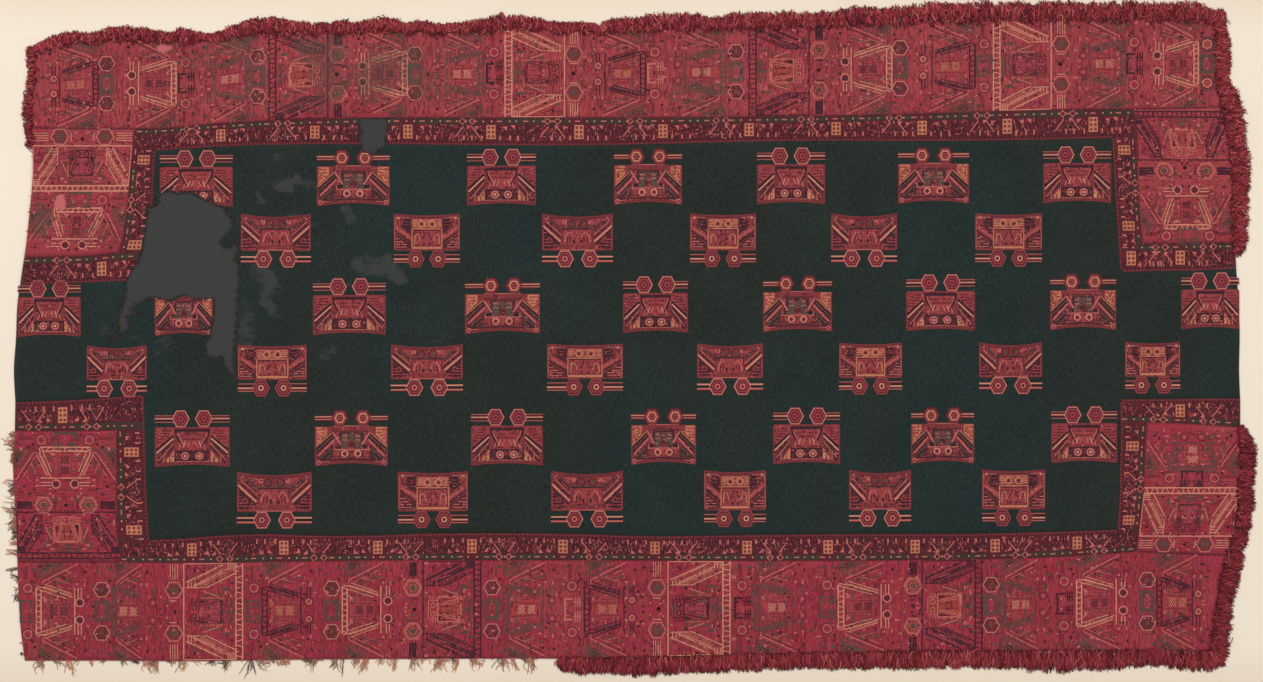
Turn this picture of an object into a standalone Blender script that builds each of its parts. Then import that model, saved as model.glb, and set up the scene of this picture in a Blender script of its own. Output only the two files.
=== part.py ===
"""A large fringed wool mantle, lying flat with its face up.

A dark field reaches both short ends between four border returns. A narrow band runs round the
field's edge, a wide border is sewn outside the band, and a fringe is sewn to the border's outer
edge. A grey support cloth lies under the places where the field is lost, and two small pink
patches lie under holes in the border. Every panel is one sheet of its own, parted from its
neighbours by the width of a seam.

Places are given on a plan of the cloth: millimetres across from the left and down from the top.
"""

import math
import random

import bmesh
import bpy
import numpy as np

MM = 0.001

# The plan point that becomes the origin: the middle of the whole cloth with its fringe.
PLAN_CENTRE = (1266.0, 680.0)

# Thicknesses and clearances, in millimetres.
FIELD_THICK = 1.2
BAND_THICK = 1.7
BORDER_THICK = 2.0
SUPPORT_THICK = 1.0
SEAM_GAP = 0.3
LAYER_GAP = 0.3
FRINGE_GAP = 0.6

# How many steps a panel's grid takes: along the field, across a return, down a return, down
# the field's end between two returns, and across the border.
FIELD_STEPS = 30
RETURN_ACROSS = 4
RETURN_DOWN = 4
END_DOWN = 4
BORDER_DOWN = 3

# Each seam or edge is a smooth curve through its own points (across, down). Seams that meet
# share their end point, so the panels on both sides of a seam follow the same line.
SEAMS = {
    "top_edge": (
        (66, 100), (120, 87), (200, 78), (300, 77), (400, 79), (480, 68), (560, 60), (660, 61),
        (800, 59), (920, 61), (1040, 55), (1200, 60), (1400, 54), (1520, 52), (1700, 48),
        (1900, 41), (2100, 37), (2300, 37), (2432, 40),
    ),
    "bottom_edge": (
        (50, 1321), (220, 1321), (380, 1322), (600, 1319), (960, 1317), (1240, 1316),
        (1400, 1312), (1600, 1307), (1800, 1304), (2000, 1302), (2200, 1301), (2424, 1302),
    ),
    "left_a": ((66, 100), (68, 130), (66, 160), (62, 200), (61, 256)),
    "left_b": ((61, 256), (65, 300), (66, 340), (63, 390), (58, 440), (54, 480), (49, 515)),
    "left_c": ((49, 515), (41, 567)),
    "left_d": ((41, 567), (36, 600), (32, 680), (28, 740), (31, 806)),
    "left_e": ((31, 806), (30, 861)),
    "left_f": ((30, 861), (26, 920), (28, 970), (32, 1040), (35, 1124)),
    "left_g": ((35, 1124), (38, 1200), (43, 1270), (50, 1321)),
    "right_a": ((2432, 40), (2434, 110), (2437, 170), (2444, 214)),
    "right_b": ((2444, 214), (2458, 280), (2464, 330), (2467, 390), (2467, 440), (2469, 486)),
    "right_c": ((2469, 486), (2472, 536)),
    "right_d": ((2472, 536), (2476, 590), (2479, 660), (2478, 740), (2480, 799)),
    "right_e": ((2480, 799), (2480, 854)),
    "right_f": ((2480, 854), (2481, 920), (2478, 975), (2473, 1030), (2466, 1072), (2455, 1111)),
    "right_g": ((2455, 1111), (2442, 1160), (2434, 1210), (2428, 1260), (2424, 1302)),
    "upper_left_join": ((61, 256), (150, 258), (270, 258)),
    "upper_right_join": ((2268, 218), (2350, 217), (2444, 214)),
    "lower_left_join": ((35, 1124), (140, 1124), (243, 1124)),
    "lower_right_join": ((2272, 1103), (2360, 1107), (2455, 1111)),
    "border_top_seam": (
        (270, 258), (340, 256), (420, 249), (500, 244), (600, 240), (700, 237), (1000, 236),
        (1400, 235), (1640, 232), (1800, 229), (2000, 223), (2130, 220), (2268, 218),
    ),
    "border_bottom_seam": (
        (243, 1124), (400, 1125), (560, 1123), (700, 1121), (1000, 1120), (1800, 1120),
        (1960, 1118), (2100, 1114), (2272, 1103),
    ),
    "field_top": (
        (310, 300), (400, 294), (500, 289), (600, 287), (780, 287), (1000, 289), (1240, 288),
        (1360, 285), (1480, 282), (1640, 280), (1900, 280), (2120, 277), (2226, 274),
    ),
    "field_bottom": (
        (297, 1082), (360, 1079), (440, 1073), (510, 1070), (640, 1073), (760, 1072),
        (860, 1069), (960, 1068), (1160, 1070), (1300, 1074), (1480, 1072), (1700, 1070),
        (1960, 1069), (2120, 1065), (2236, 1061),
    ),
    "return_left_upper": (
        (270, 258), (266, 300), (262, 340), (257, 400), (252, 440), (246, 480), (238, 506),
    ),
    "field_left_upper": ((310, 300), (307, 340), (304, 400), (297, 460), (291, 510), (286, 558)),
    "return_left_lower": ((234, 860), (235, 960), (237, 1060), (243, 1124)),
    "field_left_lower": ((286, 792), (288, 870), (290, 940), (292, 1000), (297, 1082)),
    "return_right_upper": ((2268, 218), (2272, 300), (2275, 360), (2279, 430), (2284, 488)),
    "field_right_upper": ((2226, 274), (2230, 360), (2234, 420), (2242, 542)),
    "return_right_lower": ((2294, 844), (2290, 880), (2288, 940), (2284, 1000), (2272, 1103)),
    "field_right_lower": ((2242, 800), (2243, 860), (2242, 940), (2240, 1000), (2236, 1061)),
    "foot_left_upper": ((49, 515), (120, 514), (180, 512), (238, 506)),
    "end_left_top": ((41, 567), (100, 566), (180, 563), (286, 558)),
    "end_left_bottom": ((31, 806), (100, 804), (170, 800), (286, 792)),
    "head_left_lower": ((30, 861), (120, 862), (234, 860)),
    "foot_right_upper": ((2284, 488), (2380, 487), (2469, 486)),
    "end_right_top": ((2242, 542), (2320, 540), (2400, 539), (2472, 536)),
    "end_right_bottom": ((2242, 800), (2320, 800), (2400, 799), (2480, 799)),
    "head_right_lower": ((2294, 844), (2390, 848), (2480, 854)),
    "end_left_side": ((286, 558), (286, 792)),
    "end_right_side": ((2242, 542), (2242, 800)),
}

# Soft ridges in the cloth: the middle (across, down), the half length and half width, the turn
# from the across direction in degrees, and the height, all in millimetres.
RIDGES = (
    {"across": 190, "down": 160, "long": 190, "wide": 75, "turn": 20, "height": 2.6},
    {"across": 430, "down": 120, "long": 150, "wide": 70, "turn": -30, "height": 2.2},
    {"across": 960, "down": 150, "long": 240, "wide": 80, "turn": 8, "height": 1.8},
    {"across": 1700, "down": 140, "long": 260, "wide": 80, "turn": -6, "height": 1.6},
    {"across": 2330, "down": 330, "long": 190, "wide": 70, "turn": 78, "height": 2.4},
    {"across": 2340, "down": 1010, "long": 200, "wide": 75, "turn": 65, "height": 2.6},
    {"across": 150, "down": 990, "long": 170, "wide": 70, "turn": 80, "height": 2.2},
    {"across": 640, "down": 1220, "long": 260, "wide": 75, "turn": 4, "height": 1.8},
    {"across": 1520, "down": 1210, "long": 280, "wide": 80, "turn": -5, "height": 1.6},
    {"across": 820, "down": 700, "long": 230, "wide": 80, "turn": 24, "height": 1.5},
    {"across": 1780, "down": 520, "long": 240, "wide": 85, "turn": -18, "height": 1.4},
    {"across": 1940, "down": 880, "long": 220, "wide": 80, "turn": 12, "height": 1.4},
)

# What lies under the panels: the low and high corner on the plan.
SUPPORT = ((196, 214), (806, 786))
PATCHES = {
    "pink_patch_top": ((288, 81), (368, 124)),
    "pink_patch_left": ((84, 368), (154, 438)),
}
PLATEAU_MARGIN = 100.0
PLATEAU_SLOPE = 70.0

# Ragged losses in the cloth, as outlines on the plan.
FIELD_LOSS = (
    (320, 386), (314, 408), (296, 414), (292, 430), (289, 456), (284, 484), (284, 502),
    (278, 512), (274, 524), (262, 540), (252, 558), (250, 590), (243, 612), (237, 628),
    (236, 650), (238, 666), (228, 674), (214, 674), (224, 682), (238, 679), (245, 664),
    (258, 660), (258, 644), (254, 632), (276, 627), (262, 618), (282, 604), (300, 596),
    (320, 598), (340, 604), (356, 596), (372, 592), (390, 598), (426, 600), (427, 624),
    (422, 650), (418, 676), (406, 686), (412, 700), (410, 714), (444, 714), (446, 728),
    (456, 744), (472, 760), (470, 736), (468, 716), (472, 680), (474, 640), (478, 580),
    (480, 528), (468, 516), (477, 504), (476, 482), (462, 492), (448, 494), (444, 482),
    (452, 468), (466, 456), (466, 438), (456, 428), (448, 412), (432, 408), (412, 398),
    (392, 388), (372, 382), (354, 386), (336, 378),
)
BAND_LOSS = (
    (714, 226), (778, 226), (776, 262), (772, 276), (776, 288), (764, 297), (752, 300),
    (748, 312), (732, 306), (720, 300), (721, 284), (714, 276), (722, 262), (716, 250),
)
TOP_HOLE = ((310, 89), (322, 86), (340, 86), (346, 93), (340, 104), (324, 108), (312, 103))
LEFT_HOLE = ((112, 388), (130, 386), (132, 402), (133, 416), (118, 420), (106, 416), (106, 402))

# The fringes. run is the cloth edge that each is sewn to and part the stretch of it that is
# covered, side is +1 where the outside lies to the left of the run, and lengths are in
# millimetres. fill is how much of its own width a lock keeps, and bend is in radians.
FRINGES = (
    {"name": "fringe_top", "run": ("top_edge",), "part": (0.004, 0.998), "side": 1,
     "locks": 90, "long": (21, 26), "thick": 5.0, "fill": 0.8, "bend": 0.2,
     "strip": 5.0, "cloth": "fringe_wool"},
    {"name": "fringe_left_upper", "run": ("left_a", "left_b"), "part": (0.0, 0.47),
     "side": -1, "locks": 9, "long": (17, 22), "thick": 4.5, "fill": 0.8, "bend": 0.25,
     "strip": 5.0, "cloth": "fringe_wool"},
    {"name": "fringe_right_upper", "run": ("right_a", "right_b", "right_c"),
     "part": (0.0, 0.925), "side": 1, "locks": 19, "long": (24, 36), "thick": 5.5,
     "fill": 0.8, "bend": 0.25, "strip": 5.0, "cloth": "fringe_wool"},
    {"name": "fringe_right_lower", "run": ("right_f", "right_g"), "part": (0.0, 0.985),
     "side": 1, "locks": 19, "long": (30, 36), "thick": 5.5, "fill": 0.8, "bend": 0.25,
     "strip": 5.0, "cloth": "fringe_wool"},
    {"name": "fringe_bottom", "run": ("bottom_edge",), "part": (0.452, 0.992), "side": -1,
     "locks": 52, "long": (32, 37), "thick": 5.0, "fill": 0.8, "bend": 0.2,
     "strip": 5.0, "cloth": "fringe_wool"},
    {"name": "fringe_ends_bottom", "run": ("bottom_edge",), "part": (0.02, 0.45),
     "side": -1, "locks": 28, "long": (20, 26), "thick": 2.0, "fill": 0.25, "bend": 0.35,
     "strip": 2.0, "cloth": "ends_wool"},
    {"name": "fringe_ends_left", "run": ("left_f", "left_g"), "part": (0.16, 0.70),
     "side": -1, "locks": 9, "long": (10, 18), "thick": 1.6, "fill": 0.2, "bend": 0.5,
     "strip": 2.0, "cloth": "ends_wool"},
)
# A lock's two lengths: the share of its length, how it narrows, and whether it parts from its
# neighbours there.
LOCK_LENGTHS = ((0.45, 0.92, 1), (0.55, 0.5, 0))
LOCK_SEED = 11

# Colour, roughness and metallic value of each cloth.
COLOURS = {
    "field_wool": (0.022, 0.034, 0.032),
    "border_wool": (0.36, 0.055, 0.070),
    "band_wool": (0.20, 0.035, 0.045),
    "support_cotton": (0.052, 0.052, 0.054),
    "patch_cotton": (0.52, 0.17, 0.19),
    "fringe_wool": (0.26, 0.028, 0.040),
    "ends_wool": (0.36, 0.20, 0.15),
}
WOOL_ROUGHNESS = 0.9


def smooth_curve(points, fractions):
    """Places on a cubic curve through the points, at fractions of its length from 0 to 1."""
    points = np.array(points, float)
    if len(points) == 2:
        return points[0] + np.outer(fractions, points[1] - points[0])
    spans = np.linalg.norm(np.diff(points, axis=0), axis=1)
    knots = np.concatenate([[0], np.cumsum(spans)])
    slopes = np.gradient(points, knots, axis=0)
    at = np.clip(np.asarray(fractions) * knots[-1], 0, knots[-1])
    i = np.clip(np.searchsorted(knots, at, side="right") - 1, 0, len(spans) - 1)
    t = ((at - knots[i]) / spans[i])[:, None]
    reach = spans[i][:, None]
    start, end = points[i], points[i + 1]
    return (
        (2 * t**3 - 3 * t**2 + 1) * start
        + (t**3 - 2 * t**2 + t) * reach * slopes[i]
        + (3 * t**2 - 2 * t**3) * end
        + (t**3 - t**2) * reach * slopes[i + 1]
    )


def seam(name, steps):
    """A seam's places on the plan, in that many equal steps."""
    return smooth_curve(SEAMS[name], np.linspace(0, 1, steps + 1))


def chain(*runs):
    """Several runs of places that follow each other, as one."""
    return np.concatenate([runs[0], *(run[1:] for run in runs[1:])])


def shares(run):
    """How far along a run of places each one lies, from 0 to 1."""
    lengths = np.linalg.norm(np.diff(run, axis=0), axis=1)
    return np.concatenate([[0], np.cumsum(lengths)]) / lengths.sum()


def matched(name, run):
    """An edge's places, spaced as those of the run that it faces."""
    return smooth_curve(SEAMS[name], shares(run))


def filled(north, south, west, east):
    """The grid of places between four sides that meet at their ends, each side blended with
    the one that it faces. The first index runs across and the second runs down."""
    u = ((shares(north) + shares(south)) / 2)[:, None, None]
    v = ((shares(west) + shares(east)) / 2)[None, :, None]
    between_rows = (1 - v) * north[:, None] + v * south[:, None]
    between_columns = (1 - u) * west[None] + u * east[None]
    corners = (
        (1 - u) * (1 - v) * north[0]
        + u * (1 - v) * north[-1]
        + (1 - u) * v * south[0]
        + u * v * south[-1]
    )
    return between_rows + between_columns - corners


def taken_in(grid, sides="nswe"):
    """The grid with each named side moved in by half the seam's width."""
    grid = grid.copy()
    for side, edge, inner in (
        ("w", np.s_[0], np.s_[1]),
        ("e", np.s_[-1], np.s_[-2]),
        ("n", np.s_[:, 0], np.s_[:, 1]),
        ("s", np.s_[:, -1], np.s_[:, -2]),
    ):
        if side in sides:
            inward = grid[inner] - grid[edge]
            length = np.linalg.norm(inward, axis=-1, keepdims=True)
            grid[edge] = grid[edge] + inward / length * SEAM_GAP / 2
    return grid


def ease(x):
    """A smooth step from 0 to 1."""
    x = np.clip(x, 0, 1)
    return x * x * (3 - 2 * x)


def plateau(across, down, corners):
    """1 over a patch that lies under the cloth and a margin round it, and 0 further out."""
    (left, top), (right, bottom) = corners
    outside = np.hypot(
        np.maximum(np.maximum(left - across, across - right), 0),
        np.maximum(np.maximum(top - down, down - bottom), 0),
    )
    return 1 - ease((outside - PLATEAU_MARGIN) / PLATEAU_SLOPE)


def relief(across, down):
    """How high the cloth's underside lies above the floor at a plan place, in millimetres."""
    height = np.zeros_like(across, dtype=float)
    for ridge in RIDGES:
        turn = math.radians(ridge["turn"])
        east, south = across - ridge["across"], down - ridge["down"]
        along = (east * math.cos(turn) + south * math.sin(turn)) / ridge["long"]
        over = (south * math.cos(turn) - east * math.sin(turn)) / ridge["wide"]
        inside = np.clip(1 - along**2 - over**2, 0, 1)
        height = np.maximum(height, ridge["height"] * inside**2)
    lift = SUPPORT_THICK + LAYER_GAP
    for corners in (SUPPORT, *PATCHES.values()):
        height = np.maximum(height, lift * plateau(across, down, corners))
    return height


def on_floor(places, height=0.0):
    """Plan places as points in metres, X to the right and Y towards the plan's top."""
    places = np.asarray(places, float)
    points = np.empty((*places.shape[:-1], 3))
    points[..., 0] = (places[..., 0] - PLAN_CENTRE[0]) * MM
    points[..., 1] = (PLAN_CENTRE[1] - places[..., 1]) * MM
    points[..., 2] = np.asarray(height) * MM
    return points


def material(name):
    """A plain wool or cotton finish in the cloth's colour."""
    found = bpy.data.materials.get(name)
    if found:
        return found
    made = bpy.data.materials.new(name)
    made.use_nodes = True
    shader = made.node_tree.nodes["Principled BSDF"]
    shader.inputs["Base Color"].default_value = (*COLOURS[name], 1)
    shader.inputs["Roughness"].default_value = WOOL_ROUGHNESS
    shader.inputs["Metallic"].default_value = 0.0
    return made


def placed(name, mesh, finish):
    """A named object for a mesh, with its material, in the scene."""
    mesh.materials.append(material(finish))
    made = bpy.data.objects.new(name, mesh)
    bpy.context.scene.collection.objects.link(made)
    return made


def sheet(name, grids, thick, finish, lies_flat=False):
    """One sheet of cloth from one or more grids of plan places that share their edges. Its
    underside follows the relief, and Solidify gives it its thickness upwards."""
    shape = bmesh.new()
    for grid in grids:
        height = 0.0 if lies_flat else relief(grid[..., 0], grid[..., 1])
        points = on_floor(grid, height)
        rows = [[shape.verts.new(point) for point in column] for column in points]
        for west, east in zip(rows, rows[1:]):
            for j in range(len(west) - 1):
                shape.faces.new((west[j], west[j + 1], east[j + 1], east[j]))
    bmesh.ops.remove_doubles(shape, verts=shape.verts, dist=0.02 * MM)
    mesh = bpy.data.meshes.new(name)
    shape.to_mesh(mesh)
    shape.free()
    made = placed(name, mesh, finish)
    solidify = made.modifiers.new("thickness", "SOLIDIFY")
    solidify.thickness = thick * MM
    solidify.offset = 1
    return made


def cutter(name, outline):
    """An upright prism on a plan outline, which cuts a loss or a hole through a sheet."""
    below, above = -5.0, 20.0
    shape = bmesh.new()
    rim = [shape.verts.new(point) for point in on_floor(outline, below)]
    face = shape.faces.new(rim)
    grown = bmesh.ops.extrude_face_region(shape, geom=[face])
    raised = [v for v in grown["geom"] if isinstance(v, bmesh.types.BMVert)]
    bmesh.ops.translate(shape, verts=raised, vec=(0, 0, (above - below) * MM))
    bmesh.ops.recalc_face_normals(shape, faces=shape.faces)
    mesh = bpy.data.meshes.new(name)
    shape.to_mesh(mesh)
    shape.free()
    made = bpy.data.objects.new(name, mesh)
    bpy.context.scene.collection.objects.link(made)
    made.hide_render = True
    made.display_type = "WIRE"
    return made


def cut(piece, tool):
    """Cuts the tool's shape out of a piece."""
    boolean = piece.modifiers.new(tool.name, "BOOLEAN")
    boolean.operation = "DIFFERENCE"
    boolean.solver = "EXACT"
    boolean.object = tool


def make_field(losses):
    """The dark field with its two ends, as one sheet."""
    along = FIELD_STEPS
    west = chain(
        seam("field_left_upper", RETURN_DOWN),
        seam("end_left_side", END_DOWN),
        seam("field_left_lower", RETURN_DOWN),
    )
    east = chain(
        seam("field_right_upper", RETURN_DOWN),
        seam("end_right_side", END_DOWN),
        seam("field_right_lower", RETURN_DOWN),
    )
    middle = filled(seam("field_top", along), seam("field_bottom", along), west, east)
    left = filled(
        seam("end_left_top", RETURN_ACROSS),
        seam("end_left_bottom", RETURN_ACROSS),
        matched("left_d", seam("end_left_side", END_DOWN)),
        seam("end_left_side", END_DOWN),
    )
    right = filled(
        seam("end_right_top", RETURN_ACROSS),
        seam("end_right_bottom", RETURN_ACROSS),
        seam("end_right_side", END_DOWN),
        matched("right_d", seam("end_right_side", END_DOWN)),
    )
    # The inner corners move in with the ends' edges, so that the three grids still meet.
    left, right = taken_in(left, "ns"), taken_in(right, "ns")
    middle = taken_in(middle, "ns")
    top, bottom = RETURN_DOWN, RETURN_DOWN + END_DOWN
    half = SEAM_GAP / 2
    middle[0, :top, 0] += half
    middle[0, bottom + 1 :, 0] += half
    middle[-1, :top, 0] -= half
    middle[-1, bottom + 1 :, 0] -= half
    middle[0, top : bottom + 1] = left[-1]
    middle[-1, top : bottom + 1] = right[0]
    field = sheet("field", [middle, left, right], FIELD_THICK, "field_wool")
    for loss in losses:
        cut(field, loss)
    return field


def make_border(name, north, south, west, east, holes=()):
    """One strip of the wide border, between its four sides."""
    grid = taken_in(filled(north, south, west, east))
    piece = sheet(name, [grid], BORDER_THICK, "border_wool")
    for hole in holes:
        cut(piece, hole)
    return piece


def make_borders(top_hole, left_hole):
    """The two long strips of the wide border and its four returns."""
    across, along = RETURN_ACROSS, FIELD_STEPS
    inner_top = chain(
        seam("upper_left_join", across),
        seam("border_top_seam", along),
        seam("upper_right_join", across),
    )
    inner_bottom = chain(
        seam("lower_left_join", across),
        seam("border_bottom_seam", along),
        seam("lower_right_join", across),
    )
    make_border(
        "border_top",
        matched("top_edge", inner_top),
        inner_top,
        seam("left_a", BORDER_DOWN),
        seam("right_a", BORDER_DOWN),
        [top_hole],
    )
    make_border(
        "border_bottom",
        inner_bottom,
        matched("bottom_edge", inner_bottom),
        seam("left_g", BORDER_DOWN),
        seam("right_g", BORDER_DOWN),
    )
    make_border(
        "return_left_upper",
        seam("upper_left_join", across),
        seam("foot_left_upper", across),
        seam("left_b", RETURN_DOWN),
        seam("return_left_upper", RETURN_DOWN),
        [left_hole],
    )
    make_border(
        "return_right_upper",
        seam("upper_right_join", across),
        seam("foot_right_upper", across),
        seam("return_right_upper", RETURN_DOWN),
        seam("right_b", RETURN_DOWN),
    )
    make_border(
        "return_left_lower",
        seam("head_left_lower", across),
        seam("lower_left_join", across),
        seam("left_f", RETURN_DOWN),
        seam("return_left_lower", RETURN_DOWN),
    )
    make_border(
        "return_right_lower",
        seam("head_right_lower", across),
        seam("lower_right_join", across),
        seam("return_right_lower", RETURN_DOWN),
        seam("right_f", RETURN_DOWN),
    )


def make_band(name, outer, inner, losses=()):
    """One run of the narrow band, between the line next to the border and that next to the
    field. A bend in both lines mitres its corner."""
    grid = taken_in(np.stack([outer, inner], axis=1))
    piece = sheet(name, [grid], BAND_THICK, "band_wool")
    for loss in losses:
        cut(piece, loss)
    return piece


def make_bands(field_loss, band_loss):
    """The narrow band round the field: the lower run, and the upper run in the two parts that
    a loss has left of it."""
    across, down, along = RETURN_ACROSS, RETURN_DOWN, FIELD_STEPS
    split = math.floor(along * (sum(p[0] for p in BAND_LOSS) / len(BAND_LOSS) - 270) / (2268 - 270))
    outer_top, inner_top = seam("border_top_seam", along), seam("field_top", along)
    make_band(
        "band_upper_left",
        chain(
            seam("foot_left_upper", across),
            seam("return_left_upper", down)[::-1],
            outer_top[: split + 1],
        ),
        chain(
            seam("end_left_top", across),
            seam("field_left_upper", down)[::-1],
            inner_top[: split + 1],
        ),
        [field_loss, band_loss],
    )
    make_band(
        "band_upper_right",
        chain(
            outer_top[split:],
            seam("return_right_upper", down),
            seam("foot_right_upper", across),
        ),
        chain(
            inner_top[split:],
            seam("field_right_upper", down),
            seam("end_right_top", across),
        ),
        [band_loss],
    )
    make_band(
        "band_lower",
        chain(
            seam("head_right_lower", across)[::-1],
            seam("return_right_lower", down),
            seam("border_bottom_seam", along)[::-1],
            seam("return_left_lower", down)[::-1],
            seam("head_left_lower", across)[::-1],
        ),
        chain(
            seam("end_right_bottom", across)[::-1],
            seam("field_right_lower", down),
            seam("field_bottom", along)[::-1],
            seam("field_left_lower", down)[::-1],
            seam("end_left_bottom", across)[::-1],
        ),
    )


def make_backing(name, corners, finish):
    """A flat oblong of cloth on the floor, under the panels."""
    (left, top), (right, bottom) = corners
    grid = np.array([[(left, top), (left, bottom)], [(right, top), (right, bottom)]], float)
    sheet(name, [grid], SUPPORT_THICK, finish, lies_flat=True)


def edge_run(names):
    """The cloth's own edge along the named seams, with the steps that its panels have."""
    steps = {
        "top_edge": FIELD_STEPS + 2 * RETURN_ACROSS,
        "bottom_edge": FIELD_STEPS + 2 * RETURN_ACROSS,
    }
    facing = {
        "top_edge": ("upper_left_join", "border_top_seam", "upper_right_join"),
        "bottom_edge": ("lower_left_join", "border_bottom_seam", "lower_right_join"),
    }
    runs = []
    for name in names:
        if name in steps:
            counts = (RETURN_ACROSS, FIELD_STEPS, RETURN_ACROSS)
            inner = chain(*(seam(part, n) for part, n in zip(facing[name], counts)))
            runs.append(matched(name, inner))
        else:
            runs.append(seam(name, BORDER_DOWN if name[-1] in "ag" else RETURN_DOWN))
    return chain(*runs)


def fringe_places(fringe):
    """Places and outward directions along a fringe, one wherever two locks meet."""
    run = edge_run(fringe["run"])
    at = np.linspace(*fringe["part"], fringe["locks"] + 1)
    along = shares(run)
    places = np.stack([np.interp(at, along, run[:, k]) for k in (0, 1)], axis=1)
    tangents = np.gradient(places, axis=0)
    tangents /= np.linalg.norm(tangents, axis=1, keepdims=True)
    outward = np.stack([tangents[:, 1], -tangents[:, 0]], axis=1) * fringe["side"]
    return places, outward


def make_fringe(fringe, draw):
    """One fringe: a narrow strip along the cloth's edge, and locks drawn out of its outer side.
    Each lock is a four-sided prism in two lengths that bends and narrows to its tip."""
    places, outward = fringe_places(fringe)
    inner = places + outward * FRINGE_GAP
    outer = places + outward * (FRINGE_GAP + fringe["strip"])
    thick = fringe["thick"]
    levels = ((inner, 0), (inner, thick), (outer, thick), (outer, 0))
    shape = bmesh.new()
    rings = [
        [shape.verts.new(point) for point in corners]
        for corners in zip(*(on_floor(line, height) for line, height in levels))
    ]
    fronts = []
    for here, there in zip(rings, rings[1:]):
        for side in range(4):
            after = (side + 1) % 4
            face = shape.faces.new((here[side], here[after], there[after], there[side]))
            if side == 2:
                fronts.append(face)
    shape.faces.new(rings[0][::-1])
    shape.faces.new(rings[-1])
    shortest, longest = fringe["long"]
    for number, front in enumerate(fronts):
        facing = outward[number] + outward[number + 1]
        along = number / (len(fronts) - 1)
        length = shortest + (longest - shortest) * along + draw.uniform(-3, 3)
        bend = draw.uniform(-1, 1) * fringe["bend"]
        heading = math.atan2(-facing[1], facing[0]) + bend
        for reach, narrow, level in LOCK_LENGTHS:
            made = bmesh.ops.extrude_discrete_faces(shape, faces=[front])
            front = made["faces"][0]
            centre = front.calc_center_median()
            for v in front.verts:
                low = v.co.z < centre.z
                v.co.x = centre.x + (v.co.x - centre.x) * narrow * fringe["fill"] ** level
                v.co.y = centre.y + (v.co.y - centre.y) * narrow * fringe["fill"] ** level
                v.co.x += math.cos(heading) * length * reach * MM
                v.co.y += math.sin(heading) * length * reach * MM
                v.co.z = 0 if low else thick * narrow * MM
            heading -= bend * 1.5
    bmesh.ops.recalc_face_normals(shape, faces=shape.faces)
    mesh = bpy.data.meshes.new(fringe["name"])
    shape.to_mesh(mesh)
    shape.free()
    return placed(fringe["name"], mesh, fringe["cloth"])


def main():
    for old in list(bpy.data.objects):
        bpy.data.objects.remove(old)
    field_loss = cutter("field_loss_tool", FIELD_LOSS)
    band_loss = cutter("band_loss_tool", BAND_LOSS)
    top_hole = cutter("top_hole_tool", TOP_HOLE)
    left_hole = cutter("left_hole_tool", LEFT_HOLE)
    make_field([field_loss, band_loss])
    make_bands(field_loss, band_loss)
    make_borders(top_hole, left_hole)
    make_backing("support_cloth", SUPPORT, "support_cotton")
    for name, corners in PATCHES.items():
        make_backing(name, corners, "patch_cotton")
    draw = random.Random(LOCK_SEED)
    for fringe in FRINGES:
        make_fringe(fringe, draw)


main()
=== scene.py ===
"""The looks of the fringed wool mantle, laid flat on a pale cloth and seen from above.

Places are given on a plan of the cloth, in steps of 2 mm across from the left and down from the
top, so that a step is about a yarn. The CAD solids carry the panels' form. Here every panel gets
a finer sheet on the same seams, and its embroidery is laid on it as raised yarn.
"""

import math

import bpy
import numpy as np
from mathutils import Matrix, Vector
from mathutils.geometry import tessellate_polygon


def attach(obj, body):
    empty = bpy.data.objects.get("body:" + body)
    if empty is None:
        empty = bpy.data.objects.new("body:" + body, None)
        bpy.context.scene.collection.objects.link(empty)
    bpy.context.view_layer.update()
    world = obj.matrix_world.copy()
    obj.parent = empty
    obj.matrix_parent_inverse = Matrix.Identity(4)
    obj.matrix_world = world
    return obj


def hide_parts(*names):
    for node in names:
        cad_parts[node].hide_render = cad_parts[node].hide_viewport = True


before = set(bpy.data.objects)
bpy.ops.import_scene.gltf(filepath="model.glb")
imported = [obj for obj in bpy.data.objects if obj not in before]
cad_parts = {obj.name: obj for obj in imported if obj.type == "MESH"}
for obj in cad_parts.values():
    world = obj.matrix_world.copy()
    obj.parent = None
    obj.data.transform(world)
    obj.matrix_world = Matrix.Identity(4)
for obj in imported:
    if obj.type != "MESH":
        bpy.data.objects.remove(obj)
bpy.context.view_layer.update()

STEP = 2.0  # millimetres in one step of the plan
CENTRE = (633.0, 340.0)  # the plan step that is the origin
FIELD_THICK, BAND_THICK, BORDER_THICK, SUPPORT_THICK = 1.2, 1.7, 2.0, 1.0
LAYER_GAP = 0.3  # between the mantle and what lies under it
SEAM_GAP = 0.3  # between two panels
EDGE_STEP = 2.0  # between two places along the cloth's edge

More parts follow.
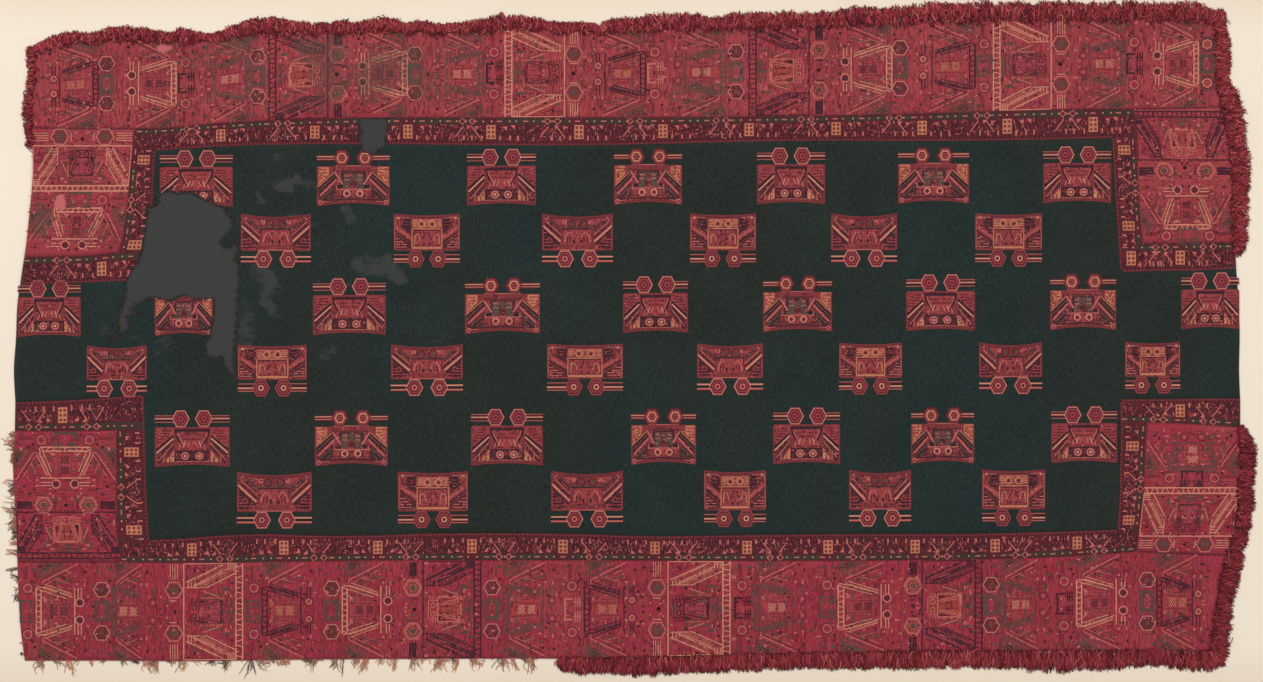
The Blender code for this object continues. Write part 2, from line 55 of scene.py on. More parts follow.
# Every seam and edge, as a smooth curve through its own points, in millimetres.
SEAMS = {
    "top_edge": (
        (66, 100), (120, 87), (200, 78), (300, 77), (400, 79), (480, 68), (560, 60), (660, 61),
        (800, 59), (920, 61), (1040, 55), (1200, 60), (1400, 54), (1520, 52), (1700, 48),
        (1900, 41), (2100, 37), (2300, 37), (2432, 40),
    ),
    "bottom_edge": (
        (50, 1321), (220, 1321), (380, 1322), (600, 1319), (960, 1317), (1240, 1316),
        (1400, 1312), (1600, 1307), (1800, 1304), (2000, 1302), (2200, 1301), (2424, 1302),
    ),
    "left_a": ((66, 100), (68, 130), (66, 160), (62, 200), (61, 256)),
    "left_b": ((61, 256), (65, 300), (66, 340), (63, 390), (58, 440), (54, 480), (49, 515)),
    "left_c": ((49, 515), (41, 567)),
    "left_d": ((41, 567), (36, 600), (32, 680), (28, 740), (31, 806)),
    "left_e": ((31, 806), (30, 861)),
    "left_f": ((30, 861), (26, 920), (28, 970), (32, 1040), (35, 1124)),
    "left_g": ((35, 1124), (38, 1200), (43, 1270), (50, 1321)),
    "right_a": ((2432, 40), (2434, 110), (2437, 170), (2444, 214)),
    "right_b": ((2444, 214), (2458, 280), (2464, 330), (2467, 390), (2467, 440), (2469, 486)),
    "right_c": ((2469, 486), (2472, 536)),
    "right_d": ((2472, 536), (2476, 590), (2479, 660), (2478, 740), (2480, 799)),
    "right_e": ((2480, 799), (2480, 854)),
    "right_f": ((2480, 854), (2481, 920), (2478, 975), (2473, 1030), (2466, 1072), (2455, 1111)),
    "right_g": ((2455, 1111), (2442, 1160), (2434, 1210), (2428, 1260), (2424, 1302)),
    "upper_left_join": ((61, 256), (150, 258), (270, 258)),
    "upper_right_join": ((2268, 218), (2350, 217), (2444, 214)),
    "lower_left_join": ((35, 1124), (140, 1124), (243, 1124)),
    "lower_right_join": ((2272, 1103), (2360, 1107), (2455, 1111)),
    "border_top_seam": (
        (270, 258), (340, 256), (420, 249), (500, 244), (600, 240), (700, 237), (1000, 236),
        (1400, 235), (1640, 232), (1800, 229), (2000, 223), (2130, 220), (2268, 218),
    ),
    "border_bottom_seam": (
        (243, 1124), (400, 1125), (560, 1123), (700, 1121), (1000, 1120), (1800, 1120),
        (1960, 1118), (2100, 1114), (2272, 1103),
    ),
    "field_top": (
        (310, 300), (400, 294), (500, 289), (600, 287), (780, 287), (1000, 289), (1240, 288),
        (1360, 285), (1480, 282), (1640, 280), (1900, 280), (2120, 277), (2226, 274),
    ),
    "field_bottom": (
        (297, 1082), (360, 1079), (440, 1073), (510, 1070), (640, 1073), (760, 1072),
        (860, 1069), (960, 1068), (1160, 1070), (1300, 1074), (1480, 1072), (1700, 1070),
        (1960, 1069), (2120, 1065), (2236, 1061),
    ),
    "return_left_upper": (
        (270, 258), (266, 300), (262, 340), (257, 400), (252, 440), (246, 480), (238, 506),
    ),
    "field_left_upper": ((310, 300), (307, 340), (304, 400), (297, 460), (291, 510), (286, 558)),
    "return_left_lower": ((234, 860), (235, 960), (237, 1060), (243, 1124)),
    "field_left_lower": ((286, 792), (288, 870), (290, 940), (292, 1000), (297, 1082)),
    "return_right_upper": ((2268, 218), (2272, 300), (2275, 360), (2279, 430), (2284, 488)),
    "field_right_upper": ((2226, 274), (2230, 360), (2234, 420), (2242, 542)),
    "return_right_lower": ((2294, 844), (2290, 880), (2288, 940), (2284, 1000), (2272, 1103)),
    "field_right_lower": ((2242, 800), (2243, 860), (2242, 940), (2240, 1000), (2236, 1061)),
    "foot_left_upper": ((49, 515), (120, 514), (180, 512), (238, 506)),
    "end_left_top": ((41, 567), (100, 566), (180, 563), (286, 558)),
    "end_left_bottom": ((31, 806), (100, 804), (170, 800), (286, 792)),
    "head_left_lower": ((30, 861), (120, 862), (234, 860)),
    "foot_right_upper": ((2284, 488), (2380, 487), (2469, 486)),
    "end_right_top": ((2242, 542), (2320, 540), (2400, 539), (2472, 536)),
    "end_right_bottom": ((2242, 800), (2320, 800), (2400, 799), (2480, 799)),
    "head_right_lower": ((2294, 844), (2390, 848), (2480, 854)),
    "end_left_side": ((286, 558), (286, 792)),
    "end_right_side": ((2242, 542), (2242, 800)),
}

# The soft ridges in the cloth: the middle, the half length and the half width in millimetres, the
# turn in degrees and the height in millimetres.
RIDGES = (
    (190, 160, 190, 75, 20, 2.6), (430, 120, 150, 70, -30, 2.2), (960, 150, 240, 80, 8, 1.8),
    (1700, 140, 260, 80, -6, 1.6), (2330, 330, 190, 70, 78, 2.4), (2340, 1010, 200, 75, 65, 2.6),
    (150, 990, 170, 70, 80, 2.2), (640, 1220, 260, 75, 4, 1.8), (1520, 1210, 280, 80, -5, 1.6),
    (820, 700, 230, 80, 24, 1.5), (1780, 520, 240, 85, -18, 1.4), (1940, 880, 220, 80, 12, 1.4),
)
WEAVE_WAVE = 0.35  # half the height of the weave's faint waves, in millimetres
# The grey cloth and the pink patches under the mantle, each by two of its corners.
SUPPORT = ((196, 214), (806, 786))
PATCHES = {
    "pink_patch_top": ((288, 81), (368, 124)),
    "pink_patch_left": ((84, 368), (154, 438)),
}
PLATEAU_MARGIN, PLATEAU_SLOPE = 100.0, 70.0  # how far the cloth stays lifted, and then falls

# What is lost of the field and the band, and the two holes in the border, in millimetres.
FIELD_LOSS = (
    (320, 386), (314, 408), (296, 414), (292, 430), (289, 456), (284, 484), (284, 502),
    (278, 512), (274, 524), (262, 540), (252, 558), (250, 590), (243, 612), (237, 628),
    (236, 650), (238, 666), (228, 674), (214, 674), (224, 682), (238, 679), (245, 664),
    (258, 660), (258, 644), (254, 632), (276, 627), (262, 618), (282, 604), (300, 596),
    (320, 598), (340, 604), (356, 596), (372, 592), (390, 598), (426, 600), (427, 624),
    (422, 650), (418, 676), (406, 686), (412, 700), (410, 714), (444, 714), (446, 728),
    (456, 744), (472, 760), (470, 736), (468, 716), (472, 680), (474, 640), (478, 580),
    (480, 528), (468, 516), (477, 504), (476, 482), (462, 492), (448, 494), (444, 482),
    (452, 468), (466, 456), (466, 438), (456, 428), (448, 412), (432, 408), (412, 398),
    (392, 388), (372, 382), (354, 386), (336, 378),
)
BAND_LOSS = (
    (714, 226), (778, 226), (776, 262), (772, 276), (776, 288), (764, 297), (752, 300),
    (748, 312), (732, 306), (720, 300), (721, 284), (714, 276), (722, 262), (716, 250),
)
TOP_HOLE = ((310, 89), (322, 86), (340, 86), (346, 93), (340, 104), (324, 108), (312, 103))
LEFT_HOLE = ((112, 388), (130, 386), (132, 402), (133, 416), (118, 420), (106, 416), (106, 402))
LOSSES = (FIELD_LOSS, BAND_LOSS, TOP_HOLE, LEFT_HOLE)


def smooth_curve(points, fractions):
    """Places on a cubic curve through the points, at fractions of its length from 0 to 1."""
    points = np.array(points, float)
    if len(points) == 2:
        return points[0] + np.outer(fractions, points[1] - points[0])
    spans = np.linalg.norm(np.diff(points, axis=0), axis=1)
    knots = np.concatenate([[0], np.cumsum(spans)])
    slopes = np.gradient(points, knots, axis=0)
    at = np.clip(np.asarray(fractions) * knots[-1], 0, knots[-1])
    i = np.clip(np.searchsorted(knots, at, side="right") - 1, 0, len(spans) - 1)
    t = ((at - knots[i]) / spans[i])[:, None]
    reach = spans[i][:, None]
    start, end = points[i], points[i + 1]
    return (
        (2 * t**3 - 3 * t**2 + 1) * start
        + (t**3 - 2 * t**2 + t) * reach * slopes[i]
        + (3 * t**2 - 2 * t**3) * end
        + (t**3 - t**2) * reach * slopes[i + 1]
    )


def seam(name, steps):
    """A seam's places on the plan, in that many equal steps."""
    return smooth_curve(SEAMS[name], np.linspace(0, 1, steps + 1))


def chain(*runs):
    """Several runs of places that follow each other, as one."""
    return np.concatenate([runs[0], *(run[1:] for run in runs[1:])])


def shares(run):
    """How far along a run of places each one lies, from 0 to 1."""
    lengths = np.linalg.norm(np.diff(run, axis=0), axis=1)
    return np.concatenate([[0], np.cumsum(lengths)]) / lengths.sum()


def matched(name, run):
    """An edge's places, spaced as those of the run that it faces."""
    return smooth_curve(SEAMS[name], shares(run))


def filled(north, south, west, east):
    """The grid of places between four sides that meet at their ends."""
    u = ((shares(north) + shares(south)) / 2)[:, None, None]
    v = ((shares(west) + shares(east)) / 2)[None, :, None]
    corners = (
        (1 - u) * (1 - v) * north[0]
        + u * (1 - v) * north[-1]
        + (1 - u) * v * south[0]
        + u * v * south[-1]
    )
    rows = (1 - v) * north[:, None] + v * south[:, None]
    return rows + (1 - u) * west[None] + u * east[None] - corners


def directions(line, closed=False):
    """The unit vectors along a line of places, and those to the left of it."""
    ahead = np.gradient(line, axis=0)
    if closed:
        ahead[0] = ahead[-1] = line[1] - line[-2]
    ahead /= np.maximum(np.linalg.norm(ahead, axis=1, keepdims=True), 1e-9)
    return ahead, np.stack([ahead[:, 1], -ahead[:, 0]], axis=1)


def ease(x):
    """A smooth step from 0 to 1: three times the square less twice the cube."""
    x = np.clip(x, 0, 1)
    return x * x * (3 - 2 * x)


def plateau(across, down, corners):
    """1 over a patch that lies under the cloth and a margin round it, and 0 further out."""
    (left, top), (right, bottom) = corners
    outside = np.hypot(
        np.maximum(np.maximum(left - across, across - right), 0),
        np.maximum(np.maximum(top - down, down - bottom), 0),
    )
    return 1 - ease((outside - PLATEAU_MARGIN) / PLATEAU_SLOPE)


def relief(across, down):
    """How high the cloth's underside lies at a plan place: the highest of the soft ridges and of
    the lift over what lies under it, plus a faint unevenness of the weave."""
    height = np.zeros_like(across, dtype=float)
    for middle_x, middle_y, long, wide, degrees, top in RIDGES:
        turn = math.radians(degrees)
        east, south = across - middle_x, down - middle_y
        along = (east * math.cos(turn) + south * math.sin(turn)) / long
        over = (south * math.cos(turn) - east * math.sin(turn)) / wide
        height = np.maximum(height, top * np.clip(1 - along**2 - over**2, 0, 1) ** 2)
    lift = SUPPORT_THICK + LAYER_GAP
    for corners in (SUPPORT, *PATCHES.values()):
        height = np.maximum(height, lift * plateau(across, down, corners))
    uneven = np.sin(across / 31 + 1.7 * np.sin(down / 57)) * np.sin(down / 27 + across / 83)
    return height + WEAVE_WAVE * (1 + uneven)


def points_at(places, height):
    """Plan places in millimetres and their heights as points in metres."""
    places = np.asarray(places, float)
    points = np.empty((*places.shape[:-1], 3))
    points[..., 0] = (places[..., 0] - CENTRE[0] * STEP) / 1000
    points[..., 1] = (CENTRE[1] * STEP - places[..., 1]) / 1000
    points[..., 2] = np.asarray(height) / 1000
    return points


# Materials and cloth sheets


def colour(red, green, blue):
    """A colour as it shows on a screen, 0 to 255, as the linear values that a shader takes."""
    shown = np.array([red, green, blue]) / 255
    linear = np.where(shown <= 0.04045, shown / 12.92, ((shown + 0.055) / 1.055) ** 2.4)
    return (*(float(value) for value in linear), 1.0)


WOOL = {
    "ground_dark": colour(34, 44, 44),
    "border_red": colour(151, 44, 61),
    "border_dark": colour(118, 36, 48),
    "border_light": colour(156, 60, 68),
    "brick": colour(164, 84, 72),
    "rust": colour(152, 62, 54),
    "wine": colour(82, 32, 44),
    "worn": colour(106, 58, 56),
    "band_red": colour(86, 30, 39),
    "block_red": colour(124, 49, 53),
    "block_rose": colour(146, 58, 62),
    "block_brown": colour(76, 36, 40),
    "salmon": colour(187, 101, 93),
    "rose": colour(158, 58, 66),
    "gold": colour(186, 116, 86),
    "cream": colour(200, 132, 110),
    "navy": colour(54, 24, 37),
    "green": colour(80, 68, 60),
    "moss": colour(58, 49, 41),
    "black": colour(38, 26, 30),
}


def link(tree, output, shader_input):
    """Joins two sockets of a node tree."""
    tree.links.new(output, shader_input)


def feed(tree, value, socket):
    """Gives a socket another node's output, or a plain value."""
    if hasattr(value, "is_linked"):
        link(tree, value, socket)
    else:
        socket.default_value = value


def math_node(tree, operation, first, second=0.5, third=0.5):
    """A math node whose inputs are sockets or numbers, and its output."""
    node = tree.nodes.new("ShaderNodeMath")
    node.operation = operation
    for socket, value in zip(node.inputs, (first, second, third)):
        feed(tree, value, socket)
    return node.outputs[0]


def noise_node(tree, vector, scale, detail=3.0, rough=0.6):
    """A noise texture's value over a vector."""
    node = tree.nodes.new("ShaderNodeTexNoise")
    node.inputs["Scale"].default_value = scale
    node.inputs["Detail"].default_value = detail
    node.inputs["Roughness"].default_value = rough
    link(tree, vector, node.inputs["Vector"])
    return node.outputs["Fac"]


def stretched(tree, vector, factors):
    """A vector with its parts multiplied."""
    node = tree.nodes.new("ShaderNodeVectorMath")
    node.operation = "MULTIPLY"
    link(tree, vector, node.inputs[0])
    node.inputs[1].default_value = factors
    return node.outputs[0]


def mixed(tree, share, first, second):
    """Two colours mixed: the first one, and more of the second as the share goes from 0 to 1."""
    node = tree.nodes.new("ShaderNodeMix")
    node.data_type = "RGBA"
    for socket, value in zip((node.inputs[0], node.inputs[6], node.inputs[7]), (share, first, second)):
        feed(tree, value, socket)
    return node.outputs[2]


def named_value(tree, name):
    """The value of a mesh's named attribute."""
    node = tree.nodes.new("ShaderNodeAttribute")
    node.attribute_name = name
    return node.outputs["Fac"]


def new_material(name, rough, specular):
    """A material, its node tree and its shader."""
    made = bpy.data.materials.new(name)
    made.use_nodes = True
    shader = made.node_tree.nodes["Principled BSDF"]
    shader.inputs["Roughness"].default_value = rough
    shader.inputs["Specular IOR Level"].default_value = specular
    return made, made.node_tree, shader


def bumped(tree, shader, height, strength, distance):
    """Bends the shader's normal as a height rises and falls."""
    node = tree.nodes.new("ShaderNodeBump")
    node.inputs["Strength"].default_value = strength
    node.inputs["Distance"].default_value = distance
    link(tree, height, node.inputs["Height"])
    link(tree, node.outputs["Normal"], shader.inputs["Normal"])


def wool_group():
    """The node group that all the wool shares: it varies a colour from yarn to yarn, darkens it
    between the yarns as painted shade, and gives the height of the yarns for a bump. Across and
    Along are yarns to the metre each way. The height is 1.1 times the yarns' noise plus half the
    flecks' and 0.4 times the patches', and the colour is multiplied by 1 plus the contrast times
    the height less 1, so that it is painted darker where the height is low."""
    tree = bpy.data.node_groups.new("wool_yarns", "ShaderNodeTree")
    face = tree.interface
    face.new_socket("Color", in_out="INPUT", socket_type="NodeSocketColor")
    for name, value in (("Across", 300.0), ("Along", 60.0), ("Contrast", 0.3)):
        face.new_socket(name, in_out="INPUT", socket_type="NodeSocketFloat").default_value = value
    face.new_socket("Color", in_out="OUTPUT", socket_type="NodeSocketColor")
    face.new_socket("Height", in_out="OUTPUT", socket_type="NodeSocketFloat")
    start = tree.nodes.new("NodeGroupInput")
    end = tree.nodes.new("NodeGroupOutput")
    place = tree.nodes.new("ShaderNodeTexCoord").outputs["Object"]
    split = tree.nodes.new("ShaderNodeSeparateXYZ")
    link(tree, place, split.inputs[0])
    across = math_node(tree, "MULTIPLY", split.outputs[0], start.outputs["Across"])
    along = math_node(tree, "MULTIPLY", split.outputs[1], start.outputs["Along"])
    joined = tree.nodes.new("ShaderNodeCombineXYZ")
    link(tree, across, joined.inputs[0])
    link(tree, along, joined.inputs[1])
    yarn = noise_node(tree, joined.outputs[0], 1.0, 2.0)
    patch = noise_node(tree, place, 6.0, 4.0)
    fleck = noise_node(tree, place, 260.0, 2.0)
    flecks = math_node(tree, "MULTIPLY", fleck, 0.5)
    value = math_node(tree, "ADD", math_node(tree, "MULTIPLY", yarn, 1.1), flecks)
    value = math_node(tree, "ADD", value, math_node(tree, "MULTIPLY", patch, 0.4))
    # Painted shade: the colour is darker where the yarns' height is low, between the yarns.
    centred = math_node(tree, "SUBTRACT", value, 1.0)
    swing = math_node(tree, "MULTIPLY_ADD", centred, start.outputs["Contrast"], 1.0)
    scaled = tree.nodes.new("ShaderNodeVectorMath")
    scaled.operation = "SCALE"
    link(tree, start.outputs["Color"], scaled.inputs[0])
    link(tree, swing, scaled.inputs["Scale"])
    link(tree, scaled.outputs[0], end.inputs["Color"])
    link(tree, value, end.inputs["Height"])
    return tree


WOOL_GROUP = wool_group()


def wool(name, base, across=300.0, along=60.0, contrast=0.9, bump=0.25, worn=None, speckle=90.0,
         tint=None, most=0.8, second=None, turns=(2.4, 0.5, 1.0), rise=0.0):
    """A wool material: its colour through the shared yarn group, with a bump and a soft sheen.
    worn is the colour that shows through, in specks, where the cloth's wear attribute is high: its
    share is twice the sum of the wear and 2.4 times a noise less 1.2, less 0.7, and at the most
    what most says. tint is a table of (place, colour) that the tint attribute chooses the yarn's
    colour from. second is a colour that takes turns with the base, so many times to the metre
    each way: its share is 3 less 5 times a noise. rise is how much larger that share is a metre
    further up the mantle."""
    made, tree, shader = new_material(name, 0.9, 0.15)
    shader.inputs["Sheen Weight"].default_value = 0.12
    shader.inputs["Sheen Roughness"].default_value = 0.6
    plain = base
    if tint:
        ramp = tree.nodes.new("ShaderNodeValToRGB")
        while len(ramp.color_ramp.elements) < len(tint):
            ramp.color_ramp.elements.new(0.5)
        for element, (place, shade) in zip(ramp.color_ramp.elements, tint):
            element.position = place
            element.color = shade
        link(tree, named_value(tree, "tint"), ramp.inputs["Fac"])
        plain = ramp.outputs["Color"]
    if second:
        place = tree.nodes.new("ShaderNodeTexCoord").outputs["Object"]
        streak = noise_node(tree, stretched(tree, place, turns), 1.0, 3.0)
        share = math_node(tree, "MULTIPLY_ADD", streak, -5.0, 3.0)
        if rise:
            sides = tree.nodes.new("ShaderNodeSeparateXYZ")
            link(tree, place, sides.inputs[0])
            share = math_node(tree, "MULTIPLY_ADD", sides.outputs["Y"], rise, share)
        plain = mixed(tree, share, base, second)
    group = tree.nodes.new("ShaderNodeGroup")
    group.node_tree = WOOL_GROUP
    for socket, value in (("Across", across), ("Along", along), ("Contrast", contrast), ("Color", plain)):
        feed(tree, value, group.inputs[socket])
    shown = group.outputs["Color"]
    if worn:
        wear = named_value(tree, "wear")
        place = tree.nodes.new("ShaderNodeTexCoord").outputs["Object"]
        grain = noise_node(tree, stretched(tree, place, (0.4, 1.0, 1.0)), speckle, 4.0, 0.75)
        over = math_node(tree, "ADD", wear, math_node(tree, "MULTIPLY_ADD", grain, 2.4, -1.2))
        eased = math_node(tree, "MAXIMUM", math_node(tree, "MULTIPLY_ADD", over, 2.0, -0.7), 0.0)
        shown = mixed(tree, math_node(tree, "MINIMUM", eased, most), shown, worn)
    link(tree, shown, shader.inputs["Base Color"])
    bumped(tree, shader, group.outputs["Height"], bump, 0.001)
    return made


def mesh_object(name, points, faces, finish, attributes):
    """A smooth object at the origin from whole arrays: points, faces with equal corner counts,
    and named values for each point."""
    points = np.asarray(points, np.float32)
    faces = np.asarray(faces, np.int32)
    mesh = bpy.data.meshes.new(name)
    mesh.vertices.add(len(points))
    mesh.vertices.foreach_set("co", points.ravel())
    mesh.loops.add(faces.size)
    mesh.loops.foreach_set("vertex_index", faces.ravel())
    mesh.polygons.add(len(faces))
    mesh.polygons.foreach_set("loop_start", np.arange(len(faces), dtype=np.int32) * faces.shape[1])
    mesh.update(calc_edges=True)
    mesh.validate()
    mesh.polygons.foreach_set("use_smooth", np.full(len(mesh.polygons), True))
    for attribute, values in attributes:
        stored = mesh.attributes.new(attribute, "FLOAT", "POINT")
        stored.data.foreach_set("value", np.asarray(values, np.float32))
    mesh.materials.append(finish)
    made = bpy.data.objects.new(name, mesh)
    bpy.context.scene.collection.objects.link(made)
    return made


# Where the embroidery or the ground is worn: the middle, the half sizes and the strength, in
# plan steps.
BORDER_WEAR = (
    (760, 72, 520, 60, 0.15), (190, 76, 190, 50, 0.2),
    (105, 50, 90, 12, 0.28), (200, 60, 26, 16, 0.44), (240, 42, 26, 14, 0.6),
    (262, 70, 14, 34, 0.36), (322, 52, 36, 20, 0.64), (330, 84, 24, 26, 0.6),
    (300, 104, 60, 14, 0.4), (372, 76, 26, 34, 0.6), (405, 62, 22, 26, 0.56),
    (430, 88, 30, 24, 0.48), (452, 50, 24, 18, 0.4), (478, 84, 16, 18, 0.32),
    (205, 96, 40, 24, 0.28), (43, 222, 12, 24, 0.72), (100, 236, 40, 14, 0.4),
    (60, 152, 26, 14, 0.28), (630, 84, 16, 34, 0.24), (690, 92, 36, 20, 0.44),
    (640, 40, 10, 10, 0.4), (830, 60, 26, 26, 0.28), (880, 100, 40, 14, 0.28),
    (1010, 60, 30, 30, 0.2), (1100, 90, 34, 20, 0.28), (560, 44, 8, 10, 0.32),
    (700, 640, 60, 16, 0.2), (560, 600, 30, 24, 0.2), (420, 640, 40, 14, 0.24),
    (1040, 640, 50, 12, 0.24), (1185, 262, 40, 8, 0.16), (1160, 520, 20, 24, 0.16),
)
FIELD_WEAR = (
    (290, 184, 30, 8, 0.95), (262, 199, 8, 7, 0.9), (347, 217, 9, 12, 0.95),
    (380, 267, 28, 14, 0.9), (364, 262, 14, 10, 0.95), (396, 276, 12, 10, 0.9),
    (270, 295, 9, 32, 0.85), (262, 268, 18, 26, 0.6), (328, 350, 7, 9, 0.9),
    (274, 155, 8, 6, 0.9), (330, 190, 26, 14, 0.4), (290, 230, 50, 24, 0.35),
    (340, 300, 34, 30, 0.3), (200, 186, 40, 7, 0.6), (246, 330, 10, 40, 0.6),
    (150, 345, 34, 18, 0.35), (400, 330, 60, 40, 0.12), (110, 330, 12, 14, 0.5),
)


def wear_at(places, blobs):
    """How worn the cloth is at plan places in millimetres: the strongest of the soft blobs, with
    an uneven edge."""
    x, y = places[..., 0] / STEP, places[..., 1] / STEP
    x = x + 3.2 * np.sin(y / 5.1) + 2.1 * np.sin(y / 2.3 + x / 4)
    y = y + 2.6 * np.sin(x / 6.7 + 1) + 1.7 * np.sin(x / 2.9)
    worn = np.zeros_like(x)
    for middle_x, middle_y, half_x, half_y, strength in blobs:
        inside = 1 - ((x - middle_x) / half_x) ** 2 - ((y - middle_y) / half_y) ** 2
        worn = np.maximum(worn, strength * ease(inside * 1.6))
    return worn


def closed_sheet(name, grids, thick, finish, wear=(), lies_flat=False):
    """One closed sheet of cloth from grids that share their edges. The same places lower down
    are its underside, and its rim joins the two. The rim lies half a seam's width inside."""
    quads, base = [], 0
    for grid in grids:
        number = np.arange(grid.shape[0] * grid.shape[1]).reshape(grid.shape[:2]) + base
        corners = [number[:-1, :-1], number[:-1, 1:], number[1:, 1:], number[1:, :-1]]
        quads.append(np.stack(corners, -1).reshape(-1, 4))
        base += number.size
    plan = np.concatenate([grid.reshape(-1, 2) for grid in grids])
    rounded = np.round(plan * 20).astype(int)
    _, first, same = np.unique(rounded, axis=0, return_index=True, return_inverse=True)
    plan = plan[first]
    top = same.reshape(-1)[np.concatenate(quads)]
    count = len(plan)
    edges = np.concatenate([top[:, [k, (k + 1) % 4]] for k in range(4)])
    code = edges[:, 0] * count + edges[:, 1]
    free = edges[~np.isin(code, edges[:, 1] * count + edges[:, 0])]
    ahead = plan[free[:, 1]] - plan[free[:, 0]]
    ahead /= np.linalg.norm(ahead, axis=1, keepdims=True)
    inward = np.zeros_like(plan)
    for end in (0, 1):
        np.add.at(inward, free[:, end], np.stack([ahead[:, 1], -ahead[:, 0]], axis=1))
    length = np.linalg.norm(inward, axis=1, keepdims=True)
    plan = plan + np.where(length > 0, inward / np.maximum(length, 1e-9), 0) * SEAM_GAP / 2
    under = np.zeros(count) if lies_flat else relief(plan[:, 0], plan[:, 1])
    points = np.concatenate([points_at(plan, under + thick), points_at(plan, under)])
    rim = np.stack([free[:, 1], free[:, 0], free[:, 0] + count, free[:, 1] + count], axis=1)
    faces = np.concatenate([top, top[:, ::-1] + count, rim])
    worn = np.tile(wear_at(plan, wear), 2)
    return mesh_object(name, points, faces, finish, [("wear", worn)])


def panel_grids():
    """Every panel's fine grids on the plan, from the same seams as the solids. The upper band is
    in two parts, and split is the step of its long seams where they part."""
    along, across, down, deep, band_rows, split = 180, 18, 20, 20, 8, 41

    def side(name):
        """A seam in the steps for its length: a long one, one across an end, or one down a side."""
        long = name.endswith("_seam") or name in ("field_top", "field_bottom")
        short = name.startswith(("foot_", "head_")) or name.endswith(("_join", "_top", "_bottom"))
        return seam(name, along if long else across if short else down)

    def run(*names):
        return chain(*(side(name) for name in names))

    def back(*names):
        return chain(*(side(name)[::-1] for name in names))

    west = run("field_left_upper", "end_left_side", "field_left_lower")
    east = run("field_right_upper", "end_right_side", "field_right_lower")
    left, right = side("end_left_side"), side("end_right_side")
    top_inner = run("upper_left_join", "border_top_seam", "upper_right_join")
    bottom_inner = run("lower_left_join", "border_bottom_seam", "lower_right_join")
    grids = {
        "field": [
            filled(side("field_top"), side("field_bottom"), west, east),
            filled(side("end_left_top"), side("end_left_bottom"), matched("left_d", left), left),
            filled(side("end_right_top"), side("end_right_bottom"), right, matched("right_d", right)),
        ],
        "border_top": [filled(
            matched("top_edge", top_inner), top_inner, seam("left_a", deep), seam("right_a", deep))],
        "border_bottom": [filled(
            bottom_inner, matched("bottom_edge", bottom_inner),
            seam("left_g", deep), seam("right_g", deep))],
    }
    for name, *sides in (
        ("return_left_upper", "upper_left_join", "foot_left_upper", "left_b", "return_left_upper"),
        ("return_right_upper", "upper_right_join", "foot_right_upper", "return_right_upper", "right_b"),
        ("return_left_lower", "head_left_lower", "lower_left_join", "left_f", "return_left_lower"),
        ("return_right_lower", "head_right_lower", "lower_right_join", "return_right_lower", "right_f"),
    ):
        grids[name] = [filled(*(side(part) for part in sides))]
    share = np.linspace(0, 1, band_rows)[None, :, None]
    for name, outer, inner in (
        ("band_upper_left",
         chain(side("foot_left_upper"), back("return_left_upper"), side("border_top_seam")[: split + 1]),
         chain(side("end_left_top"), back("field_left_upper"), side("field_top")[: split + 1])),
        ("band_upper_right",
         chain(side("border_top_seam")[split:], run("return_right_upper", "foot_right_upper")),
         chain(side("field_top")[split:], run("field_right_upper", "end_right_top"))),
        ("band_lower",
         chain(back("head_right_lower"), side("return_right_lower"),
               back("border_bottom_seam", "return_left_lower", "head_left_lower")),
         chain(back("end_right_bottom"), side("field_right_lower"),
               back("field_bottom", "field_left_lower", "end_left_bottom"))),
    ):
        grids[name] = [outer[:, None] * (1 - share) + inner[:, None] * share]
    return grids


def ragged(outline, rng):
    """A loss's outline, clockwise on the plan, with short bays and tongues of frayed yarns: a
    place about every step, moved in or out by up to the depth."""
    step, depth = 4.0, 1.6
    outline = np.array(outline, float)
    x, y = outline.T
    if (x * np.roll(y, -1) - y * np.roll(x, -1)).sum() > 0:
        outline = outline[::-1]
    out = []
    for start, end in zip(outline, np.roll(outline, -1, axis=0)):
        length = np.linalg.norm(end - start)
        count = max(int(length / step), 1)
        normal = np.array([end[1] - start[1], start[0] - end[0]]) / max(length, 1e-6)
        for k in range(count):
            out.append(start + (end - start) * k / count + normal * rng.uniform(-depth, depth) * (k > 0))
    return np.array(out)


def cut_through(piece, outline):
    """Cuts an outline through a sheet with an exact Boolean, and leaves the cut mesh in place."""
    count = len(outline)
    below, above = -5.0, 25.0
    points = np.concatenate([points_at(outline, below), points_at(outline, above)])
    mesh = bpy.data.meshes.new("cutter")
    sides = [(i, (i + 1) % count, (i + 1) % count + count, i + count) for i in range(count)]
    caps = [tuple(range(count - 1, -1, -1)), tuple(range(count, 2 * count))]
    mesh.from_pydata(points.tolist(), [], [*caps, *sides])
    tool = bpy.data.objects.new("cutter", mesh)
    bpy.context.scene.collection.objects.link(tool)
    boolean = piece.modifiers.new("cut", "BOOLEAN")
    boolean.operation, boolean.solver, boolean.object = "DIFFERENCE", "EXACT", tool
    bpy.context.view_layer.update()
    shown = piece.evaluated_get(bpy.context.evaluated_depsgraph_get())
    done = bpy.data.meshes.new_from_object(shown)
    piece.modifiers.remove(boolean)
    old, piece.data = piece.data, done
    bpy.data.meshes.remove(old)
    bpy.data.objects.remove(tool)
    bpy.data.meshes.remove(mesh)


def area_of(grids):
    """The flat area of some grids, in square metres: half the cross product of each face's
    diagonals, summed."""
    total = 0.0
    for grid in grids:
        one, two = grid[1:, 1:] - grid[:-1, :-1], grid[1:, :-1] - grid[:-1, 1:]
        total += np.abs(one[..., 0] * two[..., 1] - one[..., 1] * two[..., 0]).sum() / 2
    return total / 1e6


